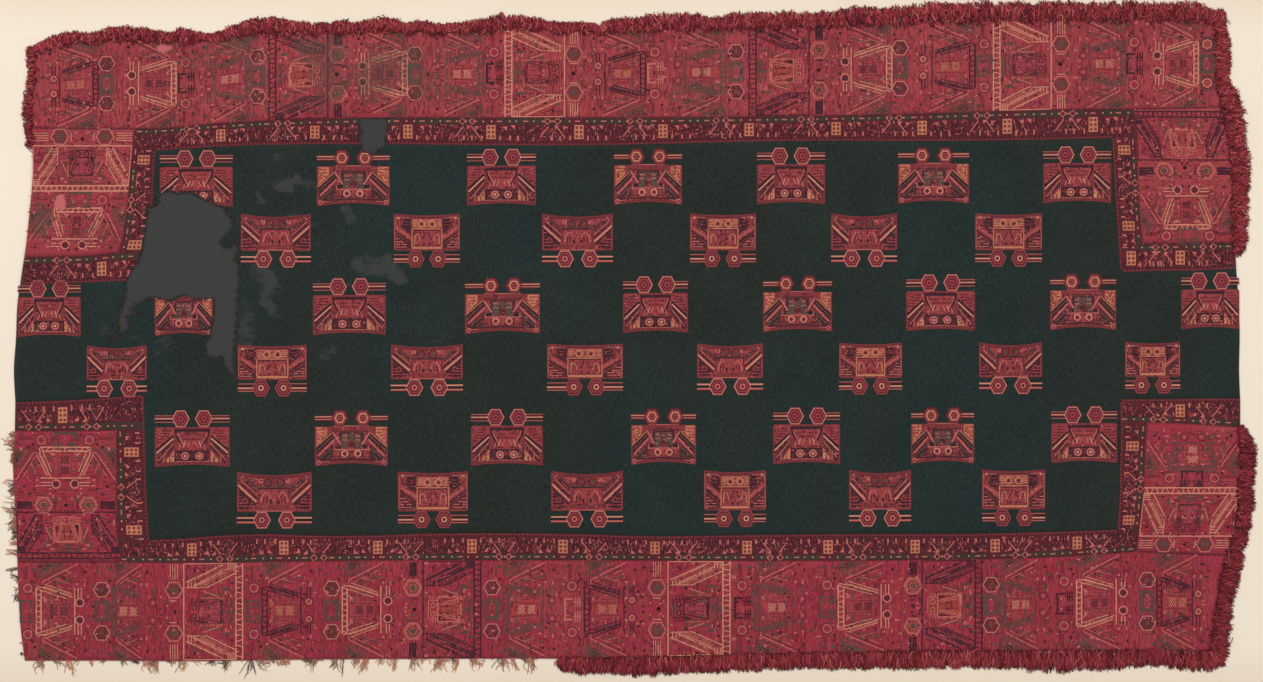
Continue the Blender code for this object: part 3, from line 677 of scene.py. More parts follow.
def make_sheets():
    """All the cloth: the panels with their losses, the grey support and the pink patches."""
    rng = np.random.default_rng(5)
    finishes = {
        "field": wool(
            "field_wool_look", colour(25, 41, 39), 400, 90, 2.0, 0.2, colour(55, 57, 57), 60.0,
            most=1.0, second=colour(31, 38, 33)),
        "border": wool(
            "border_wool_look", WOOL["border_red"], 330, 40, 1.0, 0.35, WOOL["green"], 240.0,
            most=0.7, second=colour(156, 60, 67), turns=(4.0, 4.0, 1.0), rise=1.1),
        "band": wool(
            "band_wool_look", WOOL["band_red"], 300, 160, 1.1, 0.35, WOOL["green"], 240.0, most=0.6),
    }
    thick = {"field": FIELD_THICK, "band": BAND_THICK}
    losses = {
        "field": (FIELD_LOSS, BAND_LOSS),
        "band_upper_left": (FIELD_LOSS, BAND_LOSS),
        "band_upper_right": (BAND_LOSS,),
        "border_top": (TOP_HOLE,),
        "return_left_upper": (LEFT_HOLE,),
    }
    for name, grids in panel_grids().items():
        kind = name.split("_")[0] if name.split("_")[0] in finishes else "border"
        area = area_of(grids)
        if kind == "band":
            run = np.linalg.norm(np.diff(grids[0][:, 4], axis=0), axis=1).sum() / 1000
            flat, area = (run, area / run), None
        else:
            spread = np.concatenate([grid.reshape(-1, 2) for grid in grids])
            flat = tuple((spread.max(0) - spread.min(0)) / 1000)
        piece = closed_sheet(name + "_cloth", grids, thick.get(kind, BORDER_THICK), finishes[kind],
                             FIELD_WEAR if kind == "field" else BORDER_WEAR)
        for outline in losses.get(name, ()):
            cut_through(piece, ragged(outline, rng))
        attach(piece, "root")
        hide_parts(name)
    backing = wool("support_look", colour(57, 58, 58), 700, 700, 0.25, 0.12)
    pink = wool("patch_look", colour(190, 100, 104), 700, 700, 0.3, 0.12)
    for name, corners, look, slot in (
        ("support_cloth", SUPPORT, backing, "support_cotton"),
        ("pink_patch_top", PATCHES["pink_patch_top"], pink, "patch_cotton"),
        ("pink_patch_left", PATCHES["pink_patch_left"], pink, "patch_cotton"),
    ):
        (left, top), (right, bottom) = corners
        across = np.linspace(left, right, max(int((right - left) / 10), 4))
        down = np.linspace(top, bottom, max(int((bottom - top) / 10), 4))
        grid = np.stack(np.meshgrid(across, down, indexing="ij"), axis=-1)
        piece = closed_sheet(name + "_look", [grid], SUPPORT_THICK, look, lies_flat=True)
        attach(piece, "root")
        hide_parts(name)


# The fringe

FAN_STEPS = 14.0  # the length over which the yarns turn towards a corner
# A fringe lies on a part of the edge, a run of seams, in plan steps: across for a level run (axis
# 0) and down for an upright one. side is 1 where the cloth lies to the right of the run. dense is
# yarns to the millimetre, long their shortest and longest, and curl how much they wave. fall is
# the share that falls back over the cloth, how far the yarns spread, and how deep they start.
# fan is how far they turn towards the corner at the part's two ends, in degrees. tone makes them
# paler, and reach says how far the fringe reaches from the edge: places along the run and reaches.
YARN_WIDE, YARN_LOW, YARN_RISE = 0.0017, 0.0003, 0.004  # metres
FRINGES = (
    {
        "name": "fringe_top", "run": ("top_edge",), "axis": 0, "part": (33, 1217), "side": 1,
        "dense": 6.2, "fall": (0.26, 0.42, 13), "long": (10, 20), "curl": 0.55, "fan": (-34, 52),
        "tone": 0.02,
        "reach": ((33, 3), (45, 8), (62, 11), (75, 13), (90, 8), (120, 14), (155, 11), (170, 7),
        (180, 13), (200, 8), (215, 5), (235, 11), (258, 16), (275, 16), (300, 9), (330, 8),
        (345, 13), (355, 9), (372, 13), (395, 12), (405, 7), (420, 11), (450, 7), (480, 13),
        (500, 16), (535, 12), (545, 8), (585, 8), (600, 6), (612, 13), (640, 15), (690, 17),
        (710, 10), (735, 15), (750, 17), (820, 14), (860, 18), (900, 18), (955, 22), (1000, 19),
        (1100, 18), (1195, 20), (1217, 12)),
    },
    {
        "name": "fringe_left_upper", "run": ("left_a", "left_b"), "axis": 1, "part": (47, 147),
        "side": -1, "dense": 3.2, "fall": (0.26, 0.5, 10), "long": (8, 18), "curl": 0.6,
        "fan": (40, 0), "tone": 0.02,
        "reach": ((47, 6), (60, 10), (72, 6), (85, 8), (105, 10), (118, 11), (128, 7), (147, 8)),
    },
    {
        "name": "fringe_right_upper", "run": ("right_a", "right_b", "right_c"), "axis": 1,
        "part": (20, 252), "side": 1, "dense": 8.0, "fall": (0.2, 0.4, 9), "long": (11, 23),
        "curl": 0.55, "fan": (-48, 0), "tone": 0.0,
        "reach": ((20, 11), (40, 14), (60, 17), (75, 15), (85, 15), (105, 23), (120, 22), (140, 20),
        (160, 20), (180, 18), (220, 16), (247, 14), (252, 6)),
    },
    {
        "name": "fringe_right_lower", "run": ("right_f", "right_g"), "axis": 1, "part": (427, 651),
        "side": 1, "dense": 7.6, "fall": (0.16, 0.38, 8), "long": (12, 25), "curl": 0.55,
        "fan": (0, 48), "tone": -0.1,
        "reach": ((427, 2), (440, 15), (460, 18), (480, 18), (500, 18), (530, 17), (560, 19),
        (590, 18), (615, 18), (630, 18), (651, 19)),
    },
    {
        "name": "fringe_bottom", "run": ("bottom_edge",), "axis": 0, "part": (559, 1213),
        "side": -1, "dense": 6.6, "fall": (0.04, 0.2, 5), "long": (15, 30), "curl": 0.5,
        "fan": (0, -48), "tone": -0.02,
        "reach": ((559, 10), (570, 16), (590, 16), (620, 19), (650, 19), (700, 17), (740, 17),
        (780, 16), (820, 17), (900, 18), (980, 17), (1020, 20), (1060, 23), (1100, 21), (1140, 17),
        (1160, 16), (1200, 21), (1213, 23)),
    },
)


def strands(places, headings, lengths, curls, heights, width, name, finish, rng, tints, bends=3):
    """Many short yarns. Each starts at its place, keeps to its heading in small waves of its
    curl, and arches to its height and down again. It is a roof of three lines of points that
    narrows a little to its tip."""
    count = len(places)
    share = np.linspace(0, 1, bends + 1)
    phase = rng.uniform(0, 2 * math.pi, count)[:, None]
    wave = phase + share[None, :-1] * rng.uniform(3.5, 7.5, count)[:, None]
    turn = headings[:, None] + curls[:, None] * np.sin(wave) + rng.normal(0, 0.15, (count, bends))
    step = (lengths / bends)[:, None]
    line = np.zeros((count, bends + 1, 3))
    line[:, 1:, 0] = np.cumsum(np.cos(turn) * step, axis=1)
    line[:, 1:, 1] = np.cumsum(np.sin(turn) * step, axis=1)
    line[..., 0] += places[:, 0:1]
    line[..., 1] += places[:, 1:2]
    arch = np.sin(math.pi * np.clip(share * 0.9 + 0.12, 0, 1))
    line[..., 2] = places[:, 2:3] * (1 - share**2) + heights[:, None] * (0.45 + 0.55 * arch)
    ahead = np.gradient(line, axis=1)
    side = np.stack([-ahead[..., 1], ahead[..., 0], np.zeros(ahead.shape[:-1])], axis=-1)
    side /= np.maximum(np.linalg.norm(side, axis=2, keepdims=True), 1e-9)
    radius = (width / 2 * (1 - 0.4 * share**3))[None, :, None]
    points = np.stack([line + side * radius, line, line - side * radius], axis=2)
    points[:, :, 1, 2] += width * 0.6
    points[..., 2] = np.maximum(points[..., 2], YARN_LOW)
    number = np.arange(count * (bends + 1) * 3).reshape(count, bends + 1, 3)
    near, far = number[:, :-1], number[:, 1:]
    quads = [np.stack([near[..., c], near[..., c + 1], far[..., c + 1], far[..., c]], -1) for c in (0, 1)]
    faces = np.stack(quads, axis=2).reshape(-1, 4)
    tint = np.repeat(tints, (bends + 1) * 3)
    values = [("tint", tint), ("wear", 0 * tint)]
    return mesh_object(name, points.reshape(-1, 3), faces, finish, values)


def edge_line(names, spacing=EDGE_STEP):
    """The cloth's edge along named seams, with a place about every few millimetres."""
    runs = []
    for name in names:
        length = np.linalg.norm(np.diff(SEAMS[name], axis=0), axis=1).sum()
        runs.append(seam(name, max(int(length / spacing), 4)))
    return chain(*runs)


def edge_part(ends):
    """The part of the cloth's edge that carries a fringe, with the unit vectors along it and
    outwards from the cloth."""
    line = edge_line(ends["run"])
    level = line[:, ends["axis"]]
    low, high = ends["part"]
    line = line[(level >= low * STEP) & (level <= high * STEP)]
    tangent, left = directions(line)
    return line, tangent, left * ends["side"]


def make_fringe(fringe, look, rng):
    """One fringe of cut yarns along the cloth's edge. They lie outwards in locks that lean
    together, some fall back over the cloth, and the low ones are painted darker than those on top,
    as painted shade between the yarns."""
    line, tangent, outward = edge_part(fringe)
    axis = fringe["axis"]
    place = line[:, axis] / STEP
    ends = ease(1 - np.abs(place[:, None] - np.array(fringe["part"])) / FAN_STEPS)
    turn = np.radians(ends @ np.array(fringe["fan"], float))
    across, down = outward.T
    sine, cosine = np.sin(turn), np.cos(turn)
    outward = np.stack([across * cosine - down * sine, across * sine + down * cosine], axis=1)
    share = np.cumsum(1 + 1.6 * (turn != 0) * ends.max(axis=1))
    count = int(len(line) * EDGE_STEP * fringe["dense"])
    at = np.interp(rng.uniform(0, share[-1], count), share, np.arange(len(line)))
    index = np.minimum(at.astype(int), len(line) - 1)
    root = line[index] + tangent[index] * ((at - index) * EDGE_STEP)[:, None]
    facing = outward[index]
    table = np.array(fringe["reach"], float) * STEP
    run = at * EDGE_STEP
    bumps = 0.93 + 0.08 * np.sin(run / 9.0 + 3 * np.sin(run / 31.0)) + 0.05 * np.sin(run / 3.3)
    reach = np.interp(root[:, axis], table[:, 0], table[:, 1]) * bumps
    back_share, spread, inset = fringe["fall"]
    lean = spread * (0.7 * np.sin(run / 7.0 + 2.2 * np.sin(run / 23.0)) + 0.5 * np.sin(run / 2.9 + 1.3))
    deep = inset * (0.3 + np.abs(np.sin(run / 11.0 + 2 * np.sin(run / 37.0)))) * rng.uniform(0.2, 1.0, count)
    length = np.clip(rng.uniform(*fringe["long"], count), 5.0, np.maximum(reach + deep, 5.0))
    start = rng.random(count) * np.maximum(reach + deep - 0.85 * length, 0) - deep
    back = rng.random(count) < back_share
    start = np.where(back, start + 0.8 * length, start)
    heading = np.arctan2(-facing[:, 1], facing[:, 0]) + lean + rng.normal(0, spread, count)
    heading = np.where(back, heading + math.pi, heading)
    root = root + facing * start[:, None]
    level = rng.random(count)
    outside = np.clip(start / np.maximum(reach, 1), 0, 1)
    rise = (relief(root[:, 0], root[:, 1]) + BORDER_THICK) * (1 - 0.8 * ease(outside * 3))
    curls = rng.normal(0, fringe["curl"], count)
    tone = rng.normal(0.1 + fringe["tone"], 0.18, count)
    # The tint is partly painted shade: yarns that lie lower are darker. Those further out are paler, and the
    # rest is a random tone.
    tints = np.clip(level**2 * 0.6 + 0.2 * outside**2 + tone, 0, 1)
    piece = strands(points_at(root, rise), heading, length / 1000, curls, YARN_LOW + YARN_RISE * level,
                    YARN_WIDE, fringe["name"] + "_yarn", look, rng, tints)
    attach(piece, "root")
    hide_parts(fringe["name"])


# The sparse yarns: a number of bunches, how far they reach in plan steps, and their tones.
LOOSE_ENDS = (
    {"name": "fringe_ends_bottom", "run": ("bottom_edge",), "axis": 0, "part": (30, 556), "side": -1,
     "bunches": 74, "reach": (6, 18), "tone": (0.0, 1.0)},
    {"name": "fringe_ends_left", "run": ("left_f", "left_g"), "axis": 1, "part": (428, 600), "side": -1,
     "bunches": 46, "reach": (4, 14), "tone": (0.4, 1.0)},
)
ENDS_WIDE, ENDS_LOW, ENDS_HIGH = 0.0012, 0.0002, 0.0012  # metres


def make_loose_ends(ends, look, rng):
    """The sparse yarns that are left where the fringe has gone, in small bunches."""
    line, _, outward = edge_part(ends)
    bunches = ends["bunches"]
    middle = rng.uniform(0, len(line) - 1, bunches)
    bunch = np.repeat(np.arange(bunches), rng.integers(2, 8, bunches))
    count = len(bunch)
    at = np.clip(middle[bunch] + rng.normal(0, 0.9, count), 0, len(line) - 1).astype(int)
    facing = outward[at]
    root = line[at] - facing * rng.uniform(0, 2, count)[:, None]
    lean = rng.normal(0, 0.5, bunches)[bunch] + rng.normal(0, 0.2, count)
    heading = np.arctan2(-facing[:, 1], facing[:, 0]) + lean
    low, high = ends["reach"]
    length = rng.uniform(low, high, bunches)[bunch] * STEP * rng.uniform(0.7, 1.15, count)
    curl = rng.normal(0, 0.9, bunches)[bunch] + rng.normal(0, 0.3, count)
    start = points_at(root, relief(root[:, 0], root[:, 1]) + BORDER_THICK * 0.5)
    tints = np.clip(rng.uniform(*ends["tone"], bunches)[bunch] + rng.normal(0, 0.12, count), 0, 1)
    piece = strands(start, heading, length / 1000, curl, rng.uniform(ENDS_LOW, ENDS_HIGH, count), ENDS_WIDE,
                    ends["name"] + "_yarn", look, rng, tints, bends=7)
    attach(piece, "root")
    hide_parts(ends["name"])


# The embroidery: yarns and small filled shapes, gathered by colour and then laid on the cloth

# How high each kind of work lies over the cloth, in millimetres: its edge, and its middle.
LIFTS = {"patch": (0.3, 0.3), "tick": (0.5, 0.7), "line": (0.52, 0.9), "fill": (0.62, 0.62)}


def rounded(radius, angles, squash=1.0):
    """Places round a middle at some angles."""
    return np.stack([np.cos(angles) * radius, np.sin(angles) * radius * squash], axis=1)


class Embroidery:
    """Yarns and fills for one zone of the cloth, kept by colour until they are made."""

    def __init__(self, zone, thick, wear, keeps_all=False):
        self.zone, self.thick, self.wear, self.keeps_all = zone, thick, wear, keeps_all
        self.lines, self.shapes, self.short = {}, {}, {}

    def line(self, yarn, places, width, lift=0.0):
        """A yarn through places in plan steps, of a width in plan steps."""
        self.lines.setdefault(yarn, []).append((np.asarray(places, float) * STEP, width * STEP, lift))

    def shape(self, yarn, places, layer="fill", lift=0.0):
        """A filled outline in plan steps."""
        self.shapes.setdefault(yarn, []).append((np.asarray(places, float) * STEP, LIFTS[layer][1] + lift))

    def ring(self, yarn, centre, radius, width, sides=10, turn=0.0, squash=1.0, lift=0.0):
        """A closed round of yarn."""
        around = rounded(radius, np.linspace(0, 2 * math.pi, sides + 1) + turn, squash)
        self.line(yarn, np.asarray(centre) + around, width, lift)

    def disc(self, yarn, centre, radius, sides=8, turn=0.0, layer="fill", lift=0.0):
        """A small filled round."""
        around = rounded(radius, np.linspace(0, 2 * math.pi, sides, endpoint=False) + turn)
        self.shape(yarn, np.asarray(centre) + around, layer, lift)

    def ticks(self, yarn, centres, directions, lengths, width):
        """Many short straight yarns at once, in plan steps."""
        ahead = np.stack([np.cos(directions), np.sin(directions)], axis=1)
        side = np.stack([ahead[:, 1], -ahead[:, 0]], axis=1)
        ends = np.array([-0.5, 0.5])[None, :, None, None] * (ahead * lengths[:, None])[:, None, None]
        over = np.array([-0.5, 0.0, 0.5])[None, None, :, None] * width * side[:, None, None]
        self.short.setdefault(yarn, []).append((centres[:, None, None] + ends + over) * STEP)

    def made(self, looks):
        """The zone's meshes, one for each colour of yarn, left out where the cloth is lost."""
        for yarn in sorted({*self.lines, *self.shapes, *self.short}):
            plans, rises, triangles, base = [], [], [], 0

            def add(plan, rise, corners):
                nonlocal base
                plans.append(plan)
                rises.append(np.broadcast_to(rise, plan.shape[:-1]).ravel())
                triangles.append(corners + base)
                base += len(rises[-1])

            for places, width, lift in self.lines.get(yarn, ()):
                strip = ribbon(places, width)
                edge, middle = LIFTS["line"]
                rise = np.array([edge, middle, edge]) + lift
                add(strip, rise, strip_triangles(np.arange(strip.shape[0] * 3).reshape(-1, 3)))
            for strips in self.short.get(yarn, ()):
                number = np.arange(strips.shape[0] * 6).reshape(-1, 2, 3)
                corners = np.concatenate([strip_triangles(number[:, :, k : k + 2]) for k in range(2)])
                edge, middle = LIFTS["tick"]
                add(strips, np.array([edge, middle, edge]), corners)
            for places, lift in self.shapes.get(yarn, ()):
                found = np.array(tessellate_polygon([[Vector((x, y, 0)) for x, y in places]]))
                plan, corners = refined(places[found])
                add(plan, lift, corners)
            plan = np.concatenate([part.reshape(-1, 2) for part in plans])
            height = relief(plan[:, 0], plan[:, 1]) + self.thick + np.concatenate(rises)
            corners = np.concatenate(triangles)
            if not self.keeps_all:
                corners = corners[~lost(plan[corners].mean(axis=1))]
            one, two = plan[corners[:, 1]] - plan[corners[:, 0]], plan[corners[:, 2]] - plan[corners[:, 0]]
            under = one[:, 0] * two[:, 1] - one[:, 1] * two[:, 0] > 0
            corners[under] = corners[under][:, ::-1]
            used, place = np.unique(corners, return_inverse=True)
            piece = mesh_object(
                f"{self.zone}_{yarn}_yarn", points_at(plan, height)[used], place.reshape(-1, 3),
                looks[yarn], [("wear", wear_at(plan[used], self.wear))],
            )
            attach(piece, "root")


def strip_triangles(number):
    """The triangles of a strip or of many strips, from their points' numbers by row."""
    a, b = number[..., :-1, :-1], number[..., :-1, 1:]
    c, d = number[..., 1:, 1:], number[..., 1:, :-1]
    return np.concatenate([np.stack(corners, -1).reshape(-1, 3) for corners in ((a, b, c), (a, c, d))])


def refined(corners):
    """Triangles split into smaller ones, so that a fill follows the cloth's relief."""
    size = 11.0
    plans, triangles, base = [], [], 0
    for triangle in corners:
        longest = max(np.linalg.norm(triangle[k] - triangle[k - 1]) for k in range(3))
        n = max(math.ceil(longest / size), 1)
        i, j = np.meshgrid(np.arange(n + 1), np.arange(n + 1), indexing="ij")
        keep = i + j <= n
        number = np.full((n + 1, n + 1), -1)
        number[keep] = np.arange(keep.sum())
        u, v = i[keep][:, None] / n, j[keep][:, None] / n
        plans.append(triangle[0] + u * (triangle[1] - triangle[0]) + v * (triangle[2] - triangle[0]))
        a, b, c, d = number[:-1, :-1], number[1:, :-1], number[:-1, 1:], number[1:, 1:]
        first, second = a >= 0, d >= 0
        first &= (b >= 0) & (c >= 0)
        triangles += [np.stack([a, b, c], -1)[first] + base, np.stack([b, d, c], -1)[second] + base]
        base += len(plans[-1])
    return np.concatenate(plans), np.concatenate(triangles)


def lost(places):
    """Which plan places lie in a loss or a hole."""
    inside = np.zeros(len(places), bool)
    for outline in LOSSES:
        outline = np.array(outline, float)
        near = np.all((places > outline.min(0) - 1) & (places < outline.max(0) + 1), axis=1)
        x, y = places[near].T
        odd = np.zeros(len(x), bool)
        for (x0, y0), (x1, y1) in zip(outline, np.roll(outline, -1, axis=0)):
            if y0 != y1:
                odd ^= ((y0 > y) != (y1 > y)) & (x < (x1 - x0) * (y - y0) / (y1 - y0) + x0)
        inside[near] |= odd
    return inside


def ribbon(places, width):
    """The three lines of points along a raised yarn: its two edges on the cloth and its top."""
    longest = 14
    pieces = []
    for start, end in zip(places[:-1], places[1:]):
        count = max(int(np.linalg.norm(end - start) / longest), 1)
        pieces.append(start + np.outer(np.arange(count) / count, end - start))
    line = np.concatenate([*pieces, places[-1:]])
    closed = np.allclose(line[0], line[-1]) and len(line) > 3
    _, side = directions(line, closed)
    offsets = np.array([-0.5, 0.0, 0.5]) * width
    return line[:, None] + side[:, None] * offsets[None, :, None]


def pairs(row):
    """A row of a chart as places, two numbers each, in whole units."""
    return np.reshape(row, (-1, 2)) / 100


# A block's chart, in hundredths from its middle (0) to its edge (100) and from the side of its two
# hexagons (0) to its far side (100). Everything is drawn on both sides of the middle. A row is a
# run of places, across and along by turns. A line's row starts with its width. That width, and a
# ring's radius and width, are in plan steps.
BLOCKS = {
    "A": {
        "foot": 0.07,
        "shapes": {
            "block_rose": ((49, 3, 95, 3, 95, 50, 90, 52, 48, 20), (0, 13, 36, 13, 25, 45, 38, 60, 0, 60)),
            "block_brown": ((0, 63, 46, 63, 46, 90, 0, 90),
                (50, 38, 58, 38, 92, 74, 86, 84, 72, 80, 49, 54)),
            "gold": ((48, 72, 60, 74, 69, 84, 69, 92, 48, 92),),
            "salmon": ((48, 62, 52, 62, 60, 73, 48, 73),),
            "band_red": ((82, 78, 93, 78, 93, 93, 82, 93),),
        },
        "lines": {
            "navy": ((3.0, 0, 8, 44, 8), (1.9, 46, 5, 42, 22, 27, 47), (1.5, 0, 62, 46, 62),
                (1.3, 46, 64, 46, 90), (1.1, 0, 88.5, 30, 88.5)),
            "black": ((2.3, 50, 22, 97, 58), (1.0, 50, 33, 94, 71)),
            "cream": ((1.7, 50, 28, 95, 65), (1.2, 18, 36, 24, 50), (0.9, 52, 78, 52, 90)),
            "band_red": ((1.2, 58, 9, 80, 9), (1.1, 58, 16, 84, 16), (1.1, 62, 23, 92, 23),
                (1.1, 72, 30, 93, 30), (1.1, 82, 38, 94, 38), (1.0, 6, 20, 30, 20), (1.0, 0, 30, 24, 30),
                (1.0, 8, 56, 32, 56), (0.9, 60, 78, 60, 92)),
            "salmon": ((1.0, 39, 14, 36, 24, 22, 46), (0.9, 50, 42, 90, 84), (1.2, 7, 36, 13, 50),
                (1.1, 29, 40, 36, 56), (1.0, 0, 92, 46, 92), (0.9, 76, 72, 76, 92)),
        },
        "rings": (("salmon", 19, 76, 3.3, 1.6, "cream"), ("black", 5, 84, 1.0, 1.0, "navy")),
        "hexagon": ("salmon", "rose", 11.5),
        "stripes": (("salmon", -3.5, 0.6), ("band_red", -2.5, 1.1), ("black", -1.4, 1.0),
            ("cream", 0.1, 1.3), ("band_red", 1.8, 1.4), ("salmon", 3.0, 0.6)),
    },
    "B": {
        "foot": 0.09,
        "shapes": {
            "gold": ((68, 2, 99, 2, 100, 52, 66, 20),),
            "block_red": ((0, 0, 48, 0, 44, 10, 0, 10),),
            "block_rose": ((0, 60, 40, 60, 40, 84, 0, 84), (30, 14, 50, 14, 32, 44, 28, 30)),
            "green": ((2, 15, 27, 15, 27, 58, 10, 58, 10, 42, 2, 34),),
            "block_brown": ((48, 44, 90, 76, 94, 88, 50, 84), (27, 15, 33, 15, 36, 45, 27, 45)),
            "band_red": ((0, 36, 10, 42, 8, 50, 0, 50),),
            "black": ((29, 47, 45, 47, 45, 57, 29, 57),),
        },
        "lines": {
            "black": ((1.7, 50, 18, 99, 60), (1.6, 46, 25, 96, 68)),
            "green": ((1.0, 48, 21.5, 98, 64), (1.3, 54, 56, 84, 80), (1.2, 56, 74, 70, 84)),
            "gold": ((0.9, 52, 16, 98, 52), (0.9, 12, 24, 24, 24)),
            "salmon": ((1.5, 46, 33, 90, 74), (1.8, 50, 16, 29, 45), (1.0, 0, 59, 48, 59),
                (1.0, 46, 48, 46, 58), (1.0, 62, 92, 84, 92), (0.9, 10, 34, 24, 34), (0.9, 0, -1, 48, -1)),
            "navy": ((1.1, 45, 12, 42, 20), (1.5, 0, 88, 80, 88), (1.2, 30, 16, 28, 30),
                (1.2, 56, 66, 80, 84), (1.1, 0, 16, 28, 16), (1.2, 30, 64, 30, 82)),
            "rust": ((1.4, 72, 8, 94, 8), (1.4, 70, 16, 84, 16), (1.4, 90, 16, 90, 30),
                (1.4, 76, 24, 86, 24), (1.4, 84, 31, 96, 31), (1.3, 90, 39, 97, 39)),
            "block_brown": ((1.0, 0, 12, 44, 12), (1.0, 4, 80, 48, 80)),
            "rose": ((1.0, 66, 4, 66, 20), (1.2, 96, 6, 97, 46), (1.0, 14, 18, 14, 30)),
        },
        "rings": (("cream", 18, 72, 3.0, 1.3, "band_red"), ("salmon", 90, 92, 1.9, 1.2, "rose")),
        "hexagon": ("band_red", "cream", 11.6),
        "stripes": (("band_red", -2.6, 0.9), ("salmon", -1.3, 1.0), ("band_red", 0.0, 1.1),
            ("cream", 1.3, 1.1), ("band_red", 2.5, 0.9)),
    },
    "C": {
        "foot": 0.1,
        "shapes": {
            "block_brown": ((48, 6, 97, 6, 97, 56, 50, 16), (50, 44, 84, 78, 72, 86, 46, 64)),
            "block_rose": ((0, 17, 50, 17, 42, 60, 0, 60), (44, 66, 60, 80, 68, 93, 30, 93, 30, 66),
                (50, 4, 70, 4, 66, 18, 52, 16)),
            "salmon": ((30, 78, 42, 78, 42, 88, 30, 88),),
            "block_red": ((0, 5, 46, 5, 46, 13, 0, 13),),
        },
        "lines": {
            "black": ((1.4, 99, 60, 50, 17), (1.3, 94, 75, 45, 33), (1.2, 10, 20, 10, 30)),
            "cream": ((1.9, 98, 68, 48, 25),),
            "salmon": ((0.9, 88, 80, 46, 43), (1.3, 36, 24, 32, 40, 24, 50), (1.2, 20, 50, 12, 36),
                (0.9, 0, 2, 50, 2), (1.5, 96, 92, 88, 86, 82, 94)),
            "navy": ((1.5, 58, 10, 95, 10), (1.5, 64, 18, 95, 18), (1.5, 74, 26, 95, 26),
                (1.4, 84, 34, 95, 34), (1.4, 90, 42, 96, 42), (1.3, 0, 60, 44, 60)),
            "rose": ((0.9, 60, 14, 95, 14), (0.9, 70, 22, 95, 22), (0.9, 80, 30, 95, 30),
                (1.1, 96, 6, 96, 58), (1.0, 52, 56, 70, 76)),
            "band_red": ((1.3, 30, 20, 27, 38), (1.2, 22, 24, 16, 44), (1.1, 44, 20, 40, 58),
                (1.0, 32, 70, 50, 70), (1.3, 0, 95, 66, 95), (1.1, 34, 83, 38, 83)),
            "green": ((1.3, 46, 62, 72, 86), (1.0, 0, 64, 44, 64)),
        },
        "rings": (("band_red", 17, 77, 3.9, 1.5, "green"), ("block_rose", 78, 28, 2.2, 1.2, "band_red"),
            ("black", 92, 90, 1.2, 0.9, "cream"), ("black", 10, 25, 1.2, 0.9, "black")),
        "hexagon": ("salmon", "salmon", 12.5),
        "stripes": (("cream", -2.2, 1.5), ("black", 0.0, 2.0), ("salmon", 2.2, 1.6),
            ("band_red", 3.6, 0.8)),
    },
    "D": {
        "foot": 0.06,
        "shapes": {
            "block_brown": ((48, 6, 96, 6, 96, 46, 66, 28, 48, 18), (47, 50, 76, 66, 74, 92, 47, 92)),
            "block_rose": ((47, 26, 94, 54, 97, 98, 84, 98, 80, 66, 47, 42),
                (0, 14, 40, 14, 40, 54, 0, 54)),
            "navy": ((52, 58, 70, 68, 68, 90, 52, 90),),
            "brick": ((0, 64, 43, 64, 43, 88, 0, 88),),
        },
        "lines": {
            "gold": ((1.3, 0, 60, 45, 60, 45, 10), (2.6, 0, 7.5, 45, 7.5), (1.3, 38, 18, 36, 40, 28, 46),
                (1.3, 28, 46, 20, 26), (1.0, 30, 68, 46, 68), (1.0, 30, 75, 46, 75), (1.0, 30, 82, 46, 82)),
            "salmon": ((1.0, 0, 88, 44, 88), (0.9, 60, 10, 94, 10), (0.9, 60, 17, 76, 17),
                (0.9, 82, 17, 94, 17), (0.9, 70, 24, 94, 24), (0.9, 82, 32, 94, 32), (1.1, 97, 6, 97, 90),
                (1.2, 54, 92, 90, 92), (1.0, 47, 34, 90, 60)),
            "rose": ((1.0, 54, 72, 66, 72), (1.0, 54, 80, 66, 80), (1.6, 86, 10, 90, 22)),
            "black": ((1.5, 47, 22, 97, 54), (1.2, 47, 46, 82, 70), (1.2, 56, 62, 56, 88),
                (1.1, 62, 66, 62, 88), (1.1, 68, 14, 90, 14)),
            "band_red": ((1.4, 3, 50, 14, 30), (1.3, 30, 50, 24, 30), (1.3, 0, 56.5, 40, 56.5),
                (1.2, 88, 96, 88, 70), (1.0, 0, 94, 50, 94)),
        },
        "rings": (("gold", 16, 75, 3.3, 1.4, "block_brown"), ("cream", 87, 90, 1.5, 1.0, "cream"),
            ("rose", 78, 24, 1.4, 0.9, "cream"), ("black", 9, 18, 1.1, 0.9, "black")),
        "hexagon": ("block_rose", "cream", 11.3),
        "stripes": (("band_red", -3.0, 1.0), ("salmon", -4.2, 0.7), ("black", -1.6, 1.2),
            ("cream", 0.1, 1.6), ("band_red", 1.9, 1.2), ("salmon", 3.1, 0.8)),
    },
}

# The blocks, a row at a time: the two kinds that alternate, the level of the near sides, where
# the hexagons are, the level of the far sides, how much lower the row lies ROW_RUN further to the
# right, and each block's left and right side. The levels are true at ROW_START.
ROW_START, ROW_RUN = 200, 900
BLOCK_ROWS = (
    ("AB", 167, 207, -4, (
        (160, 233), (317, 390), (467, 536), (614, 682), (757, 825), (898, 969), (1043, 1111))),
    ("CD", 251, 214, -1, (
        (241, 311), (394, 460), (542, 613), (690, 756), (831, 897), (975, 1042))),
    ("AB", 296, 336, -6, (
        (18, 81), (155, 213), (313, 386), (465, 540), (623, 688), (763, 832), (906, 975), (1050, 1116),
        (1181, 1239))),
    ("CD", 380, 345, -3, (
        (87, 147), (238, 307), (391, 463), (547, 623), (697, 763), (839, 902), (979, 1042), (1125, 1180))),
    ("AB", 427, 467, -4, (
        (155, 230), (315, 388), (471, 543), (631, 696), (773, 840), (911, 974), (1051, 1117))),
    ("CD", 512, 472, -3, (
        (237, 312), (398, 468), (551, 623), (704, 766), (849, 911), (982, 1045))),
)
HEXAGON_GAP = 8.3  # from a block's near side to the middle of its hexagons


